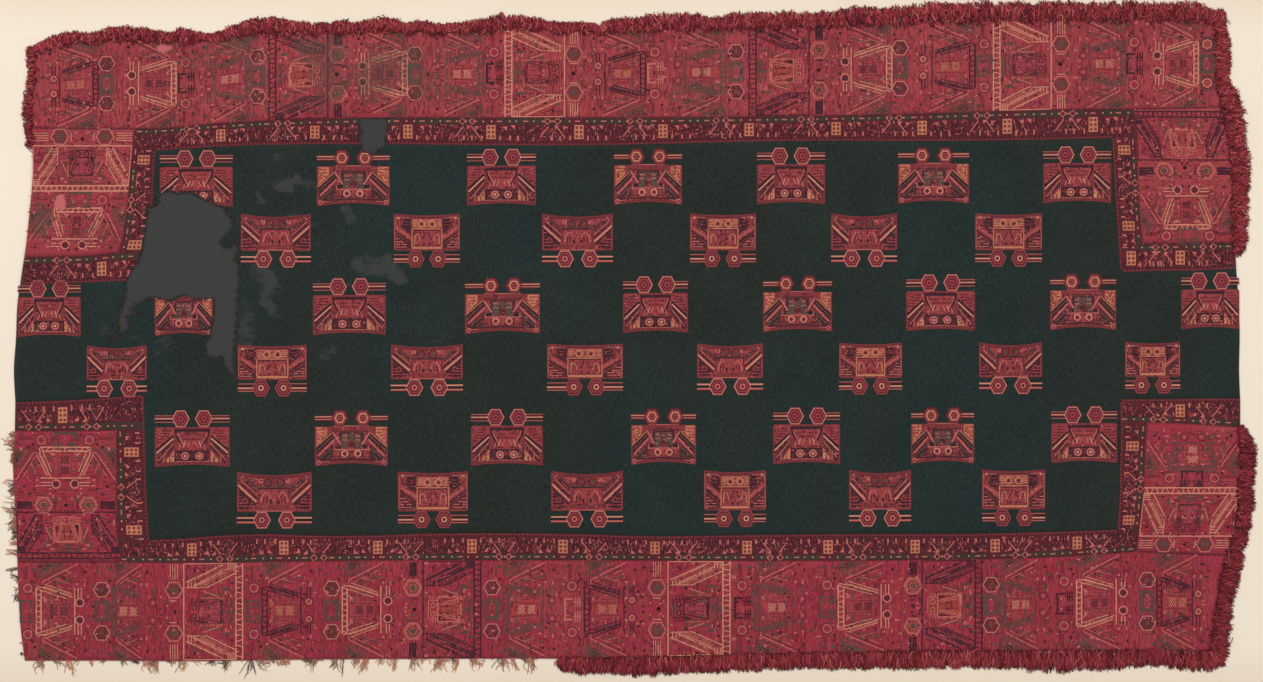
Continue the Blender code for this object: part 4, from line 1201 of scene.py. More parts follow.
def make_block(work, rng, chart, left, right, near, far, tilt):
    """One figured block with its two hexagons and their stripes."""
    middle, half = (left + right) / 2, (right - left) / 2
    tall = far - near
    sign = math.copysign(1, tall)
    foot = chart["foot"]

    def at(side, u, v):
        bowed = foot * (1 - u * u) * max(v - 0.5, 0) * 2
        return middle + side * u * half, near + (v - bowed) * tall + side * u * tilt / 2

    def beyond(across, over):
        return middle + across, near - sign * over + across / half * tilt / 2

    rim = [(-0.97, 0), (0.97, 0), (0.99, 0.5), (1, 1), (0.5, 1), (0, 1), (-0.5, 1), (-1, 1), (-0.99, 0.5)]
    work.shape("block_red", [at(1, u, v) for u, v in rim], "patch")
    yarns = ("band_red", "block_rose", "navy", "rose", "block_brown", "salmon", "band_red", "block_rose",
             "black")
    count = 34 * len(yarns)
    u, v = rng.uniform(-0.97, 0.97, count), rng.uniform(0.03, 0.97, count)
    centres = np.array([at(1, *place) for place in zip(u, v)])
    upright = rng.random(count) < 0.5
    for k, yarn in enumerate(yarns):
        some = slice(k, None, len(yarns))
        work.ticks(yarn, centres[some], np.where(upright[some], math.pi / 2, 0.0),
                   rng.uniform(1.2, 3.2, len(centres[some])), 0.72)
    for side in (-1, 1):
        for layer, (yarn, rows) in enumerate(chart["shapes"].items()):
            for row in rows:
                work.shape(yarn, [at(side, u, v) for u, v in pairs(row)], "patch", 0.05 + 0.02 * layer)
        for yarn, rows in chart["lines"].items():
            for width, *row in rows:
                work.line(yarn, [at(side, u, v) for u, v in pairs(row)], width * 0.88)
        for yarn, u, v, radius, width, heart in chart["rings"]:
            centre = at(side, u / 100, v / 100)
            if radius > 1.5:
                work.ring(yarn, centre, radius, width)
                work.disc(heart, centre, radius * 0.45, lift=0.2)
            else:
                work.disc(yarn, centre, radius, lift=0.15)
        outline, core, apart = chart["hexagon"]
        for yarn, offset, width in chart["stripes"]:
            work.line(yarn, [beyond(side * (apart + 7), HEXAGON_GAP + offset),
                             beyond(side * half, HEXAGON_GAP + offset)], width)
        centre = beyond(side * apart, HEXAGON_GAP)
        rings = (("block_brown", 6.7, 1.4), ("rose", 5.4, 1.2), ("band_red", 4.0, 1.5), (core, 2.4, 1.5))
        if outline == "band_red":
            rings = (("block_rose", 6.2, 1.2), (core, 4.5, 1.4), ("band_red", 3.2, 1.0), ("rust", 1.8, 1.8))
        for yarn, radius, width in ((outline, 8.2, 1.6), *rings):
            work.ring(yarn, centre, radius, width, 6, squash=1.08)
        work.disc("block_red", centre, 8.0, 6, layer="patch")
        work.disc("band_red", centre, 1.3, 6)
        count = max(int(half / 3.0), 4)
        for k in range(count):
            u = (k + 0.2) / count
            for level, width, turn in ((0.965, 1.1, 0), (0.925, 1.0, 1)):
                for yarn, shift in (("block_rose", turn * 0.5), ("block_brown", 0.5 - turn * 0.5)):
                    start = u + shift / count
                    end = min(start + 0.45 / count, 1)
                    work.line(yarn, [at(side, start, level), at(side, end, level)], width)
        for level in np.arange(0.06, 0.95, 0.085):
            work.line("rose", [at(side, 0.95, level), at(side, 0.98, level)], 1.2)
            work.line("block_brown", [at(side, 0.95, level + 0.04), at(side, 0.98, level + 0.04)], 1.2)
        edge = ((0, 0.995), (0.5, 0.995), (0.985, 0.99), (0.985, 0.03))
        work.line("block_red", [at(side, u, v) for u, v in edge], 0.9)


def make_blocks(looks):
    """All the figured blocks of the field, with a dark rim of yarn ends round the losses that is also
    painted shadow at the losses' edges.
    """
    work = Embroidery("field", FIELD_THICK, ())
    rng = np.random.default_rng(3)
    for kinds, near, far, drop, blocks in BLOCK_ROWS:
        for number, (left, right) in enumerate(blocks):
            lower = drop * ((left + right) / 2 - ROW_START) / ROW_RUN
            make_block(work, rng, BLOCKS[kinds[number % 2]], left, right, near + lower, far + lower,
                       drop * (right - left) / ROW_RUN)
    work.made(looks)
    # The dark rim round the losses is frayed yarn ends, and their darkness is also painted shadow where the
    # cloth's edge stands over the support.
    fray_and_shadow = Embroidery("rim", FIELD_THICK, (), keeps_all=True)
    for outline in (FIELD_LOSS, BAND_LOSS):
        outline = np.array([*outline, outline[0]], float) / STEP
        for start, end in zip(outline[:-1], outline[1:]):
            length = np.linalg.norm(end - start)
            count = max(int(length / 0.8), 2)
            ahead = (end - start) / length
            places = start + ahead * rng.uniform(0, length, count)[:, None] + rng.normal(0, 0.9, (count, 2))
            turn = math.atan2(ahead[1], ahead[0]) + rng.normal(0, 0.9, count)
            for k, yarn in enumerate(("black", "ground_dark", "moss")):
                fray_and_shadow.ticks(yarn, places[k::3], turn[k::3], rng.uniform(1.2, 4.0, len(places[k::3])), 0.8)
    fray_and_shadow.made(looks)


# The border's figures and the band's repeat


class Strip:
    """A strip between two edges. A place on it is given by how far along it lies, in plan steps,
    and across it from -1 at the first edge to 1 at the second."""

    def __init__(self, first, second, axis):
        self.axis = axis
        self.edges = []
        for names in (first, second):
            line = edge_line(names, 6.0) / STEP
            if line[0, axis] > line[-1, axis]:
                line = line[::-1]
            self.edges.append(line)

    def at(self, along, across):
        """The place on the plan."""
        one, two = (np.interp(along, edge[:, self.axis], edge[:, 1 - self.axis]) for edge in self.edges)
        other = one + (two - one) * (across + 1) / 2
        return (along, other) if self.axis == 0 else (other, along)

    def path(self, places):
        """Several places."""
        return [self.at(along, across) for along, across in places]

    def upright(self, along, start, end):
        """The two ends of a yarn across the strip."""
        return self.path([(along, start), (along, end)])

    def level(self, start, end, across):
        """The two ends of a yarn along the strip."""
        return self.path([(start, across), (end, across)])


STRIPS = {
    "top": Strip(("top_edge",), ("upper_left_join", "border_top_seam", "upper_right_join"), 0),
    "bottom": Strip(("lower_left_join", "border_bottom_seam", "lower_right_join"), ("bottom_edge",), 0),
    "upper_left": Strip(("left_b",), ("return_left_upper",), 1),
    "upper_right": Strip(("return_right_upper",), ("right_b",), 1),
    "lower_left": Strip(("left_f",), ("return_left_lower",), 1),
    "lower_right": Strip(("return_right_lower",), ("right_f",), 1),
}

# A figure's chart, in hundredths from its long line (0) to its bar (100) and from the strip's
# middle (0) to its edge (100), drawn on both sides of the middle, in rows like a block's. main is
# the figure's own yarn, second its inner yarn, and wash what fills its slanted bands.
MEDIUM = {
    "shapes": {
        "worn": ((30, 98, 108, 98, 108, 68, 96, 68), (44, 64, 60, 60, 60, 72, 44, 74)),
        "rose": ((16, 0, 16, 20, 88, 30, 88, 0),),
        "wash": ((5, 36, 10, 30, 86, 42, 86, 50),),
    },
    "lines": {
        "main": ((1.7, 96, 0, 96, 44), (1.7, 110, 0, 110, 48), (1.4, 0, 0, 0, 48), (1.3, 5, 28, 90, 50),
            (1.0, 10, 36, 86, 55), (1.3, 74, 46, 108, 50), (1.2, 22, 26, 94, 42), (1.0, 80, 22, 92, 30)),
        "salmon": ((1.3, -8, 96, 92, 60), (1.1, 92, 60, 92, 52), (1.0, 6, 80, 80, 56),
            (2.0, 86, 18, 86, 25), (2.0, -28, 50, -28, 58), (0.9, 12, 56, 50, 64)),
        "green": ((1.5, 0, 68, 62, 54), (1.4, 34, 88, 90, 68), (1.3, 26, 14, 26, 24), (1.3, 74, 14, 74, 34),
            (1.2, 30, 30, 66, 36), (1.4, 62, 94, 100, 80)),
        "border_dark": ((1.2, 20, 78, 92, 54), (1.1, -2, 88, 50, 72), (1.1, 12, 12, 86, 14),
            (1.1, 34, 20, 62, 20), (1.2, -10, 62, 20, 56), (1.0, 96, 56, 96, 66), (1.0, 104, 56, 104, 66)),
        "rose": ((1.1, 20, 97, 98, 72), (1.2, 100, 56, 100, 66), (1.2, 20, 7, 20, 20)),
        "black": ((1.1, 70, 94, 90, 84), (1.0, 80, 96, 95, 90), (1.2, 30, 72, 44, 68)),
    },
    "dots": (("salmon", -7, 55, 1.4), ("navy", 60, 60, 1.4), ("salmon", 44, 50, 1.0),
        ("salmon", 50, 28, 1.0), ("navy", 22, 30, 1.0), ("navy", 120, 62, 1.5), ("salmon", -38, 30, 1.3),
        ("green", 122, 86, 2.0), ("salmon", 124, 40, 1.2), ("salmon", 2, 72, 1.0), ("navy", -30, 80, 1.6)),
}
LARGE = {
    "shapes": {
        "wash": ((84, 78, 41, 50, 17, 50, 17, 55, 68, 88), (78, 82, 92, 82, 92, 99, 78, 99),
            (60, 94, 66, 90, 12, 57, 6, 60)),
        "brick": ((27, 23, 70, 23, 74, 29, 30, 29),),
        "inside": ((28, 0, 66, 0, 66, 23, 28, 12),),
        "second": ((64.5, 0, 70, 0, 70, 24, 64.5, 24),),
        "black": ((29, 22.5, 29, 16, 43, 20.5, 43, 22.5),),
        "worn": ((34, 31, 74, 33, 74, 38, 40, 40), (76, 8, 90, 8, 90, 24, 76, 24)),
        "green": ((74, 0, 90, 0, 90, 5, 74, 5), (66, 44, 84, 42, 84, 48, 70, 50)),
    },
    "lines": {
        "main": ((1.7, 93, 0, 93, 98), (1.7, 105, 0, 105, 98), (1.5, 0, 0, 0, 98), (1.4, 92, 78, 41, 49),
            (1.2, 41, 49, 4, 49), (1.2, 80, 88, 17, 52), (1.4, 70, 95, 4, 60), (0.9, 74, 80, 24, 52),
            (1.2, 20, 50, 20, 60), (1.2, 14, 49, 14, 60), (1.2, 8, 48, 8, 60), (1.1, 2, 97.5, 92, 97.5),
            (1.1, 89, 84, 89, 97), (1.1, 84, 84, 84, 97), (1.1, 79, 84, 79, 97)),
        "rose": ((1.1, 86, 82, 22, 51), (1.0, 72, 91, 10, 58), (1.2, 80, 12, 80, 20)),
        "salmon": ((2.2, 75, 34, 75, 42), (1.8, 84, 28, 84, 35), (1.0, 50, 70, 30, 62),
            (1.4, 62, 31, 34, 42)),
        "second": ((1.1, 66, 24.5, 27, 24.5), (1.3, 66, 22, 27, 11), (1.0, 60, 15, 34, 9),
            (1.4, 27, 0, 27, 26), (1.1, 10, 0, 10, 17), (1.0, 27, 18, 10, 18), (1.0, 23, 19, 23, 28),
            (1.0, 18.5, 19, 18.5, 28), (1.0, 14, 19, 14, 28)),
        "border_dark": ((1.2, 60, 62, 30, 46), (1.1, 40, 90, 16, 76), (1.2, 34, 96, 10, 84),
            (1.1, 83, 0, 83, 22), (1.0, 62, 6, 34, 5)),
    },
    "dots": (("navy", 44, 8, 1.2), ("salmon", 6, 34, 1.3), ("navy", 20, 84, 1.5), ("salmon", 28, 92, 1.2),
        ("salmon", -30, 12, 1.2), ("navy", -16, 0, 2.2), ("navy", 86, 58, 1.4), ("salmon", 50, 86, 1.1),
        ("green", 12, 70, 1.6), ("salmon", -42, 30, 1.3), ("salmon", 80, 40, 1.0), ("green", -30, 20, 1.6)),
}
# Each eye: its rings (yarn, radius, width) and its heart (yarn, radius).
EYES = {
    "navy": ((("wine", 4.2, 0.8), ("salmon", 2.6, 1.5)), ("rust", 1.3)),
    "cream": ((("cream", 4.2, 1.0),), ("wine", 2.7)),
    "green": ((("wine", 3.8, 0.8), ("rose", 2.5, 1.3)), ("salmon", 1.2)),
}
WASHES = {"navy": "wine", "cream": "brick", "green": "worn"}


def checks(work, centre, along, across, yarn):
    """A little chequered block of yarn. along and across are the vectors of one check."""
    columns, rows = 7, 5
    for column in range(columns):
        for row in range(rows):
            if (column + row) % 2 == 0:
                place = centre + (column - (columns - 1) / 2) * along + (row - (rows - 1) / 2) * across
                work.line(yarn, [place - along * 0.5, place + along * 0.5], np.linalg.norm(across))


def comb_pair(work, strip, along, half_along, yarn):
    """Two chequered blocks side by side along the strip."""
    for side in (-1, 1):
        ends = np.array(strip.path([(along, 0), (along + 1, 0), (along, 0.035)]))
        centre = np.array(strip.at(along + side * half_along * 1.1, 0))
        checks(work, centre, ends[1] - ends[0], ends[2] - ends[0], yarn)


def figure(work, strip, chart, start, bar, main, second):
    """A figure between its long line and its bar, in its own yarn."""
    span = bar - start
    yarns = {"main": main, "second": second, "wash": WASHES[main],
             "inside": "rust" if main == "navy" else "border_light"}

    def places(row, side):
        return strip.path([(start + a * span, side * t) for a, t in pairs(row)])

    for side in (-1, 1):
        for layer, (yarn, rows) in enumerate(chart["shapes"].items()):
            for row in rows:
                work.shape(yarns.get(yarn, yarn), places(row, side), "patch", 0.02 * layer)
        for yarn, rows in chart["lines"].items():
            for width, *row in rows:
                work.line(yarns.get(yarn, yarn), places(row, side), width * 0.8)
        for yarn, a, t, size in chart["dots"]:
            work.disc(yarn, strip.at(start + a / 100 * span, side * t / 100), size, 5)


def ladder(work, strip, low, high, reach, yarn):
    """The short rungs between a bar's two uprights, from edge to edge of its reach."""
    half_border, rung = 44, 4.5
    count = int(2 * reach * half_border / rung)
    for k in range(count):
        level = -reach + 2 * reach * (k + 0.5) / count
        slant = 0.02 if k % 2 else -0.02
        work.line(yarn, strip.path([(low, level - slant), (high, level + slant)]), 1.0)


def medium(work, strip, eyes, line, bar, main):
    """A medium figure: two ringed eyes, a line, two comb blocks and a bar."""
    figure(work, strip, MEDIUM, line, bar, main, main)
    span = bar - line
    ladder(work, strip, line + 0.96 * span, line + 1.10 * span, 0.5, main)
    rings, (heart, size) = EYES[main]
    for side in (-1, 1):
        centre = strip.at(eyes, side * 0.18)
        for yarn, radius, width in rings:
            work.ring(yarn, centre, radius, width)
        work.disc(heart, centre, size, lift=0.2)
        for shift in (-1.6, 1.6):
            work.line(main, strip.upright(eyes + shift, side * 0.28, side * 0.48), 1.0)
    pair = {"navy": "gold", "cream": "navy", "green": "cream"}[main]
    comb_pair(work, strip, line + 0.46 * span, 4.6, pair)


def hexagon(work, centre, radius, outline, heart):
    """A hexagon of yarn with a ring inside it."""
    work.disc(heart, centre, radius * 0.86, 6, layer="patch", lift=0.14)
    work.ring(outline, centre, radius, 1.5, 6)
    work.ring("border_dark", centre, radius * 0.6, 1.4, 6)
    work.disc("worn" if heart == "block_brown" else "green", centre, radius * 0.34, 6)


def large(work, strip, hexagons, line, bar, main, second):
    """A large figure: a bar and a line over the strip's whole width, broad slanted bands, an
    inner figure with two eyes, and a pair of hexagons beyond the line."""
    figure(work, strip, LARGE, line, bar, main, second)
    span = bar - line
    ladder(work, strip, line + 0.93 * span, line + 1.05 * span, 0.97, main)
    for side in (-1, 1):
        eye = strip.at(line + 0.185 * span, side * 0.09)
        work.ring(second, eye, 2.5, 1.1, 8)
        work.disc("rose" if main == "cream" else "rust", eye, 1.3, lift=0.2)
        hexagon(work, strip.at(hexagons, side * 0.44), 8.8, "salmon", "worn" if main == "cream" else "brick")
        if main == "cream":
            for shift in (-3.6, -1.2, 1.2, 3.6):
                work.line(main, strip.upright(hexagons + shift, side * 0.66, side * 0.97), 0.8)
        else:
            for shift in (-2.6, 0.0, 2.6):
                work.line(main, strip.upright(hexagons + shift, side * 0.67, side * 0.96), 2.2)
        work.line(main, strip.level(hexagons - 4, hexagons + 4, side * 0.22), 1.0)


def spacer(work, strip, along, comb):
    """A pair of small rings between two figures, with a frame of comb work in the middle."""
    for side in (-1, 1):
        centre = strip.at(along, side * 0.47)
        turn = math.pi / 8
        work.disc("worn", centre, 6.6, 8, turn, layer="patch")
        work.ring("border_dark", centre, 6.0, 0.9, 8, turn)
        work.ring("salmon", centre, 4.2, 1.1, 8, turn)
        work.disc("border_red", centre, 3.3, 8, turn, lift=0.05)
        work.disc("border_dark", centre, 1.2, 6, lift=0.15)
        for shift in (-2.6, -0.9, 0.9, 2.6):
            work.line("rose" if shift > 0 else "border_dark",
                      strip.upright(along + shift, side * 0.64, side * 0.92), 1.1)
        work.disc("navy", strip.at(along + 7, side * 0.72), 1.7, 4)
        work.disc("salmon", strip.at(along - 7, side * 0.64), 1.3, 4)
        work.disc("green", strip.at(along - 6, side * 0.86), 2.0, 4)
    yarn = comb or "green"
    work.line(yarn, strip.upright(along - 7, -0.23, 0.23), 2.0)
    for side in (-1, 1):
        work.line(yarn, strip.level(along - 7, along + 1, side * 0.21), 1.8)
        work.line(yarn, strip.level(along - 6, along - 3, side * 0.12), 1.1)
        for shift in (3.2, 5.6, 8.0):
            work.line(yarn, strip.upright(along + shift, side * 0.04, side * 0.25), 1.2)
        work.line(yarn, strip.level(along + 1, along + 9, side * 0.14), 1.1)
    work.disc("rose", strip.at(along - 1.5, 0), 2.8, 4, math.pi / 4)


def wide_spacer(work, strip, along, main="salmon"):
    """A pair of larger hexagons between two figures."""
    for side in (-1, 1):
        centre = strip.at(along, side * 0.44)
        hexagon(work, centre, 8.2, main, "block_brown")
        if main == "worn":
            work.ring("salmon", centre, 4.4, 1.8, 8, lift=0.2)
            work.disc("rust", centre, 3.0, 8, lift=0.1)
        work.disc("worn", centre, 9.6, 6, layer="patch")
        for shift in (-2.0, 2.0):
            work.line("rose", strip.upright(along + shift, side * 0.66, side * 0.92), 1.1)
        work.disc("salmon", strip.at(along, side * 0.12), 1.2, 4)
        for shift in (-6.6, -4.4, 4.4, 6.6):
            work.line("green", strip.upright(along + shift, 0, side * 0.22), 1.6)
        for level in (0.15, 0.2):
            work.line("green", strip.level(along - 4, along + 4, side * level), 1.6)


# Each strip's figures, in order: m is a medium figure (eyes, line, bar, yarn), l a large one
# (hexagons, line, bar, yarn, inner yarn), w a pair of hexagons and s a small pair with its comb.
FIGURES = {
    "top": (
        ("m", 54, 60, 95, "navy"), ("w", 107), ("m", 132, 139, 173, "cream"), ("s", 186, "navy"),
        ("m", 209, 215, 248, "green"), ("w", 258), ("l", 338, 328, 272, "navy", "salmon"),
        ("m", 363, 369, 404, "cream"), ("w", 415), ("m", 438, 447, 480, "green"),
        ("s", 494, "navy"), ("l", 574, 564.5, 508, "cream", "wine"), ("m", 598, 605, 642, "navy"),
        ("s", 655, "salmon"), ("m", 678, 685, 722, "green"), ("w", 736),
        ("l", 819, 809, 752, "navy", "salmon"), ("m", 845, 851, 888, "cream"), ("w", 900),
        ("m", 923, 932, 971, "navy"), ("s", 984, ""), ("l", 1061, 1051, 996, "cream", "wine"),
        ("m", 1083, 1089, 1122, "green"), ("s", 1134, "navy"), ("m", 1157, 1163, 1195, "cream"),
        ("w", 1207, "worn"),
    ),
    "bottom": (
        ("s", 28, ""), ("m", 80, 75, 40, "cream"), ("w", 102), ("m", 153, 140, 115, "green"),
        ("l", 174, 184, 240, "cream", "wine"), ("s", 254, ""), ("m", 309, 301, 266, "navy"),
        ("w", 332), ("m", 388, 381, 346, "cream"), ("l", 413, 423, 478, "navy", "salmon"),
        ("w", 492), ("m", 552, 543, 507, "green"), ("s", 572, "salmon"),
        ("m", 632, 624, 588, "navy"), ("l", 657, 668, 727, "cream", "navy"), ("s", 742, "navy"),
        ("m", 802, 793, 758, "green"), ("s", 827, ""), ("m", 887, 881, 842, "cream"),
        ("l", 913, 922, 979, "navy", "salmon"), ("w", 991), ("m", 1043, 1035, 1003, "green"),
        ("s", 1064, "navy"), ("m", 1123, 1116, 1080, "cream"), ("w", 1147),
        ("m", 1198, 1192, 1160, "navy"),
    ),
    "upper_left": (
        ("l", 137, 146, 189, "cream", "navy"), ("s", 200, ""), ("m", 245, 239, 211, "cream"),
    ),
    "upper_right": (
        ("l", 171, 160, 114, "navy", "salmon"), ("m", 190, 196, 226, "cream"), ("s", 236, ""),
    ),
    "lower_left": (
        ("s", 440, ""), ("m", 484, 478, 450, "cream"), ("l", 505, 512, 556, "navy", "salmon"),
    ),
    "lower_right": (
        ("m", 437, 443, 468, "green"), ("s", 478, "navy"), ("l", 544, 536, 490, "cream", "wine"),
    ),
}


def make_border(looks):
    """The wide border's embroidery: its figures, scattered small marks on both sides of the
    middle, and the many short yarns of the ground."""
    work = Embroidery("border", BORDER_THICK, BORDER_WEAR)
    rng = np.random.default_rng(21)
    for name, figures in FIGURES.items():
        strip = STRIPS[name]
        for kind, *places in figures:
            {"m": medium, "l": large, "s": spacer}.get(kind, wide_spacer)(work, strip, *places)
        low = max(edge[0, strip.axis] for edge in strip.edges) + 3
        high = min(edge[-1, strip.axis] for edge in strip.edges) - 3
        count = int((high - low) / 2.4)
        marks = ("salmon", "navy", "green", "rose", "wine", "worn", "border_dark")
        for along, across in zip(rng.uniform(low, high, count), rng.uniform(0.02, 0.95, count)):
            yarn = marks[int(rng.integers(len(marks)))]
            long, wide = rng.uniform(0.7, 1.7), rng.uniform(1.2, 3.0)
            for side in (-1, 1):
                work.line(yarn, strip.level(along - long, along + long, side * across), wide)
                if wide > 2.3:
                    heart = strip.level(along - 0.5, along + 0.5, side * across)
                    work.line("border_red", heart, 1.0, lift=0.15)
        count = int((high - low) * 9)
        spots = np.array([strip.at(*place) for place in zip(
            rng.uniform(low, high, count), rng.uniform(-0.98, 0.98, count))])
        level = 0.0 if strip.axis else math.pi / 2
        for k, (yarn, long, wide) in enumerate((
            ("border_dark", 6.0, 0.7), ("border_light", 5.0, 0.7), ("border_dark", 4.0, 0.8),
            ("rose", 5.0, 0.8), ("worn", 2.8, 0.9), ("brick", 4.0, 0.7), ("border_dark", 8.0, 0.6),
        )):
            some = spots[k::7]
            turns = level + rng.normal(0, 0.03, len(some))
            work.ticks(yarn, some, turns, long * rng.uniform(0.4, 1.2, len(some)), wide)
    work.made(looks)


# The band's straight parts, from a first seam to a second, with the places along it of the gold
# blocks and of the pairs of rings. flip is 1 where the outer side comes first.
BANDS = (
    {"first": ("border_top_seam",), "second": ("field_top",), "axis": 0, "part": (136, 1133),
     "blocks": (221, 315, 408, 491, 579, 663, 749, 836, 922, 1007, 1093),
     "rings": (192, 283, 372, 467.5, 552.5, 635, 721, 806, 894, 982, 1067.5), "flip": 1},
    {"first": ("field_bottom",), "second": ("border_bottom_seam",), "axis": 0,
     "part": (122, 1135), "blocks": (192, 284, 378, 472, 563, 655, 747, 828, 915, 995, 1077),
     "rings": (225, 319, 411, 504, 594, 684, 775, 858, 942, 1020, 1099), "flip": -1},
    {"first": ("return_left_upper",), "second": ("field_left_upper",), "axis": 1,
     "part": (150, 252), "blocks": (160, 245), "rings": (205,), "flip": 1},
    {"first": ("field_right_upper",), "second": ("return_right_upper",), "axis": 1,
     "part": (138, 246), "blocks": (150, 226), "rings": (188,), "flip": -1},
    {"first": ("return_left_lower",), "second": ("field_left_lower",), "axis": 1,
     "part": (432, 540), "blocks": (452, 530), "rings": (492,), "flip": 1},
    {"first": ("field_right_lower",), "second": ("return_right_lower",), "axis": 1,
     "part": (426, 532), "blocks": (446, 520), "rings": (484,), "flip": -1},
    {"first": ("foot_left_upper",), "second": ("end_left_top",), "axis": 0, "part": (25, 142),
     "blocks": (102,), "rings": (62,), "flip": 1},
    {"first": ("end_left_bottom",), "second": ("head_left_lower",), "axis": 0,
     "part": (18, 143), "blocks": (63,), "rings": (92, 34), "flip": -1},
    {"first": ("foot_right_upper",), "second": ("end_right_top",), "axis": 0,
     "part": (1122, 1233), "blocks": (1131, 1180), "rings": (1160, 1208), "flip": 1},
    {"first": ("end_right_bottom",), "second": ("head_right_lower",), "axis": 0,
     "part": (1122, 1238), "blocks": (1180,), "rings": (1158, 1208), "flip": -1},
)
BLOCK_MARGIN = 6.4  # how far the scattered ticks keep from the middle of a gold block


def make_band(looks):
    """The narrow band's embroidery: a dark strip with dashes along its first side, dotted gold
    blocks, paired rings over a dark wedge, and a row of short yarns along its second side."""
    work = Embroidery("band", BAND_THICK, BORDER_WEAR)
    rng = np.random.default_rng(17)
    for band in BANDS:
        strip = Strip(band["first"], band["second"], band["axis"])
        flip = band["flip"]
        low, high = band["part"]

        def path(places):
            return strip.path([(along, across * flip) for along, across in places])

        marks = np.linspace(low, high, int((high - low) / 6) + 1)
        for start, end in zip(marks[:-1], marks[1:]):
            work.shape("moss", path([(start, -0.95), (end, -0.95), (end, -0.54), (start, -0.54)]), "patch")
        for k, along in enumerate(np.arange(low + 3, high - 2, 8.6)):
            along += rng.uniform(-1.2, 1.2)
            if k % 3 == 0:
                work.line("salmon", path([(along - 2.6, -0.74), (along + 2.6, -0.74)]), 1.2)
                work.line("wine", path([(along + 3.4, -0.8), (along + 7.6, -0.8)]), 1.2)
            else:
                work.disc("cream", path([(along, -0.74)])[0], 0.9, 6)
        for along in band["blocks"]:
            for yarn, half, near, far in (("band_red", 8, -0.95, -0.5), ("gold", 4.6, -0.46, 0.6)):
                corners = ((-half, near), (half, near), (half, far), (-half, far))
                work.shape(yarn, path([(along + a, t) for a, t in corners]), "patch", 0.12)
            for shift in (-2.1, 2.1):
                for level in (-0.26, 0.07, 0.4):
                    work.disc("block_red", path([(along + shift, level)])[0], 1.6, 6, lift=0.1)
            for side in (-1, 1):
                for reach, level in ((14, -0.22), (22, -0.30)):
                    x = along + side * reach
                    if low < x < high:
                        base = [(x - 2.4, level - 0.14), (x + 2.4, level - 0.14)]
                        work.shape("salmon", path([*base, (x + side * 1.6, level + 0.2)]))
                for reach in (9, 19, 27):
                    x = along + side * reach
                    if low < x < high:
                        work.line("salmon", path([(x, 0.34), (x, 0.7)]), 1.6)
        for along in band["rings"]:
            dark = path([(along - 3, -0.5), (along + 3, -0.5), (along + 11, 0.66), (along - 11, 0.66)])
            work.shape("block_brown", dark, "patch")
            for side in (-1, 1):
                work.line("salmon", path([(along + side * 4, -0.36), (along + side * 12, 0.44)]), 1.1)
                work.line("border_dark", path([(along + side * 1, -0.2), (along + side * 8, 0.5)]), 1.1)
                centre = path([(along + side * 5, -0.74)])[0]
                work.disc("band_red", centre, 3.6, 8, layer="patch", lift=0.15)
                work.ring("salmon", centre, 3.2, 1.2, 4)
                work.disc("wine", centre, 1.5, 4, lift=0.2)
                for reach in (3, 8):
                    work.disc("salmon", path([(along + side * reach, 0.40)])[0], 0.8, 4)
            work.disc("salmon", path([(along, 0.28)])[0], 0.9, 4)
        for k, along in enumerate(np.arange(low, high, 2.1)):
            work.line("border_dark" if k % 2 else "black", path([(along, 0.80), (along, 0.97)]), 0.9)
        count = int((high - low) * 4)
        along, across = rng.uniform(low, high, count), rng.uniform(-0.45, 0.75, count)
        clear = np.abs(along[:, None] - np.array(band["blocks"])).min(axis=1) > BLOCK_MARGIN
        spots = np.array(path(zip(along[clear], across[clear])))
        for k, yarn in enumerate(("black", "wine", "rose", "black", "border_dark", "salmon", "black")):
            some = spots[k::7]
            turn = np.where(rng.random(len(some)) < 0.75, math.pi / 2, 0.0)
            work.ticks(yarn, some, turn, rng.uniform(1.2, 3.4, len(some)), 0.72)
    work.made(looks)


def make_seams(looks):
    """The slanted stitches over the seams, one every 5 mm."""
    work = Embroidery("seam", BORDER_THICK, ())
    runs = {
        "band_red": (
            "border_top_seam", "border_bottom_seam", "return_left_upper", "return_left_lower",
            "return_right_upper", "return_right_lower", "foot_left_upper", "head_left_lower",
            "foot_right_upper", "head_right_lower",
        ),
        "rose": (
            "field_top", "field_bottom", "field_left_upper", "field_left_lower",
            "field_right_upper", "field_right_lower", "end_left_top", "end_left_bottom",
            "end_right_top", "end_right_bottom",
        ),
        "navy": ("upper_left_join", "upper_right_join", "lower_left_join", "lower_right_join"),
    }
    for yarn, names in runs.items():
        for name in names:
            line = edge_line((name,), 5.0) / STEP
            for place, along, over in zip(line[1:-1], *(part[1:-1] for part in directions(line))):
                stitch = [place - over - along * 0.5, place + over + along * 0.5]
                work.line(yarn, stitch, 0.8)
    work.made(looks)


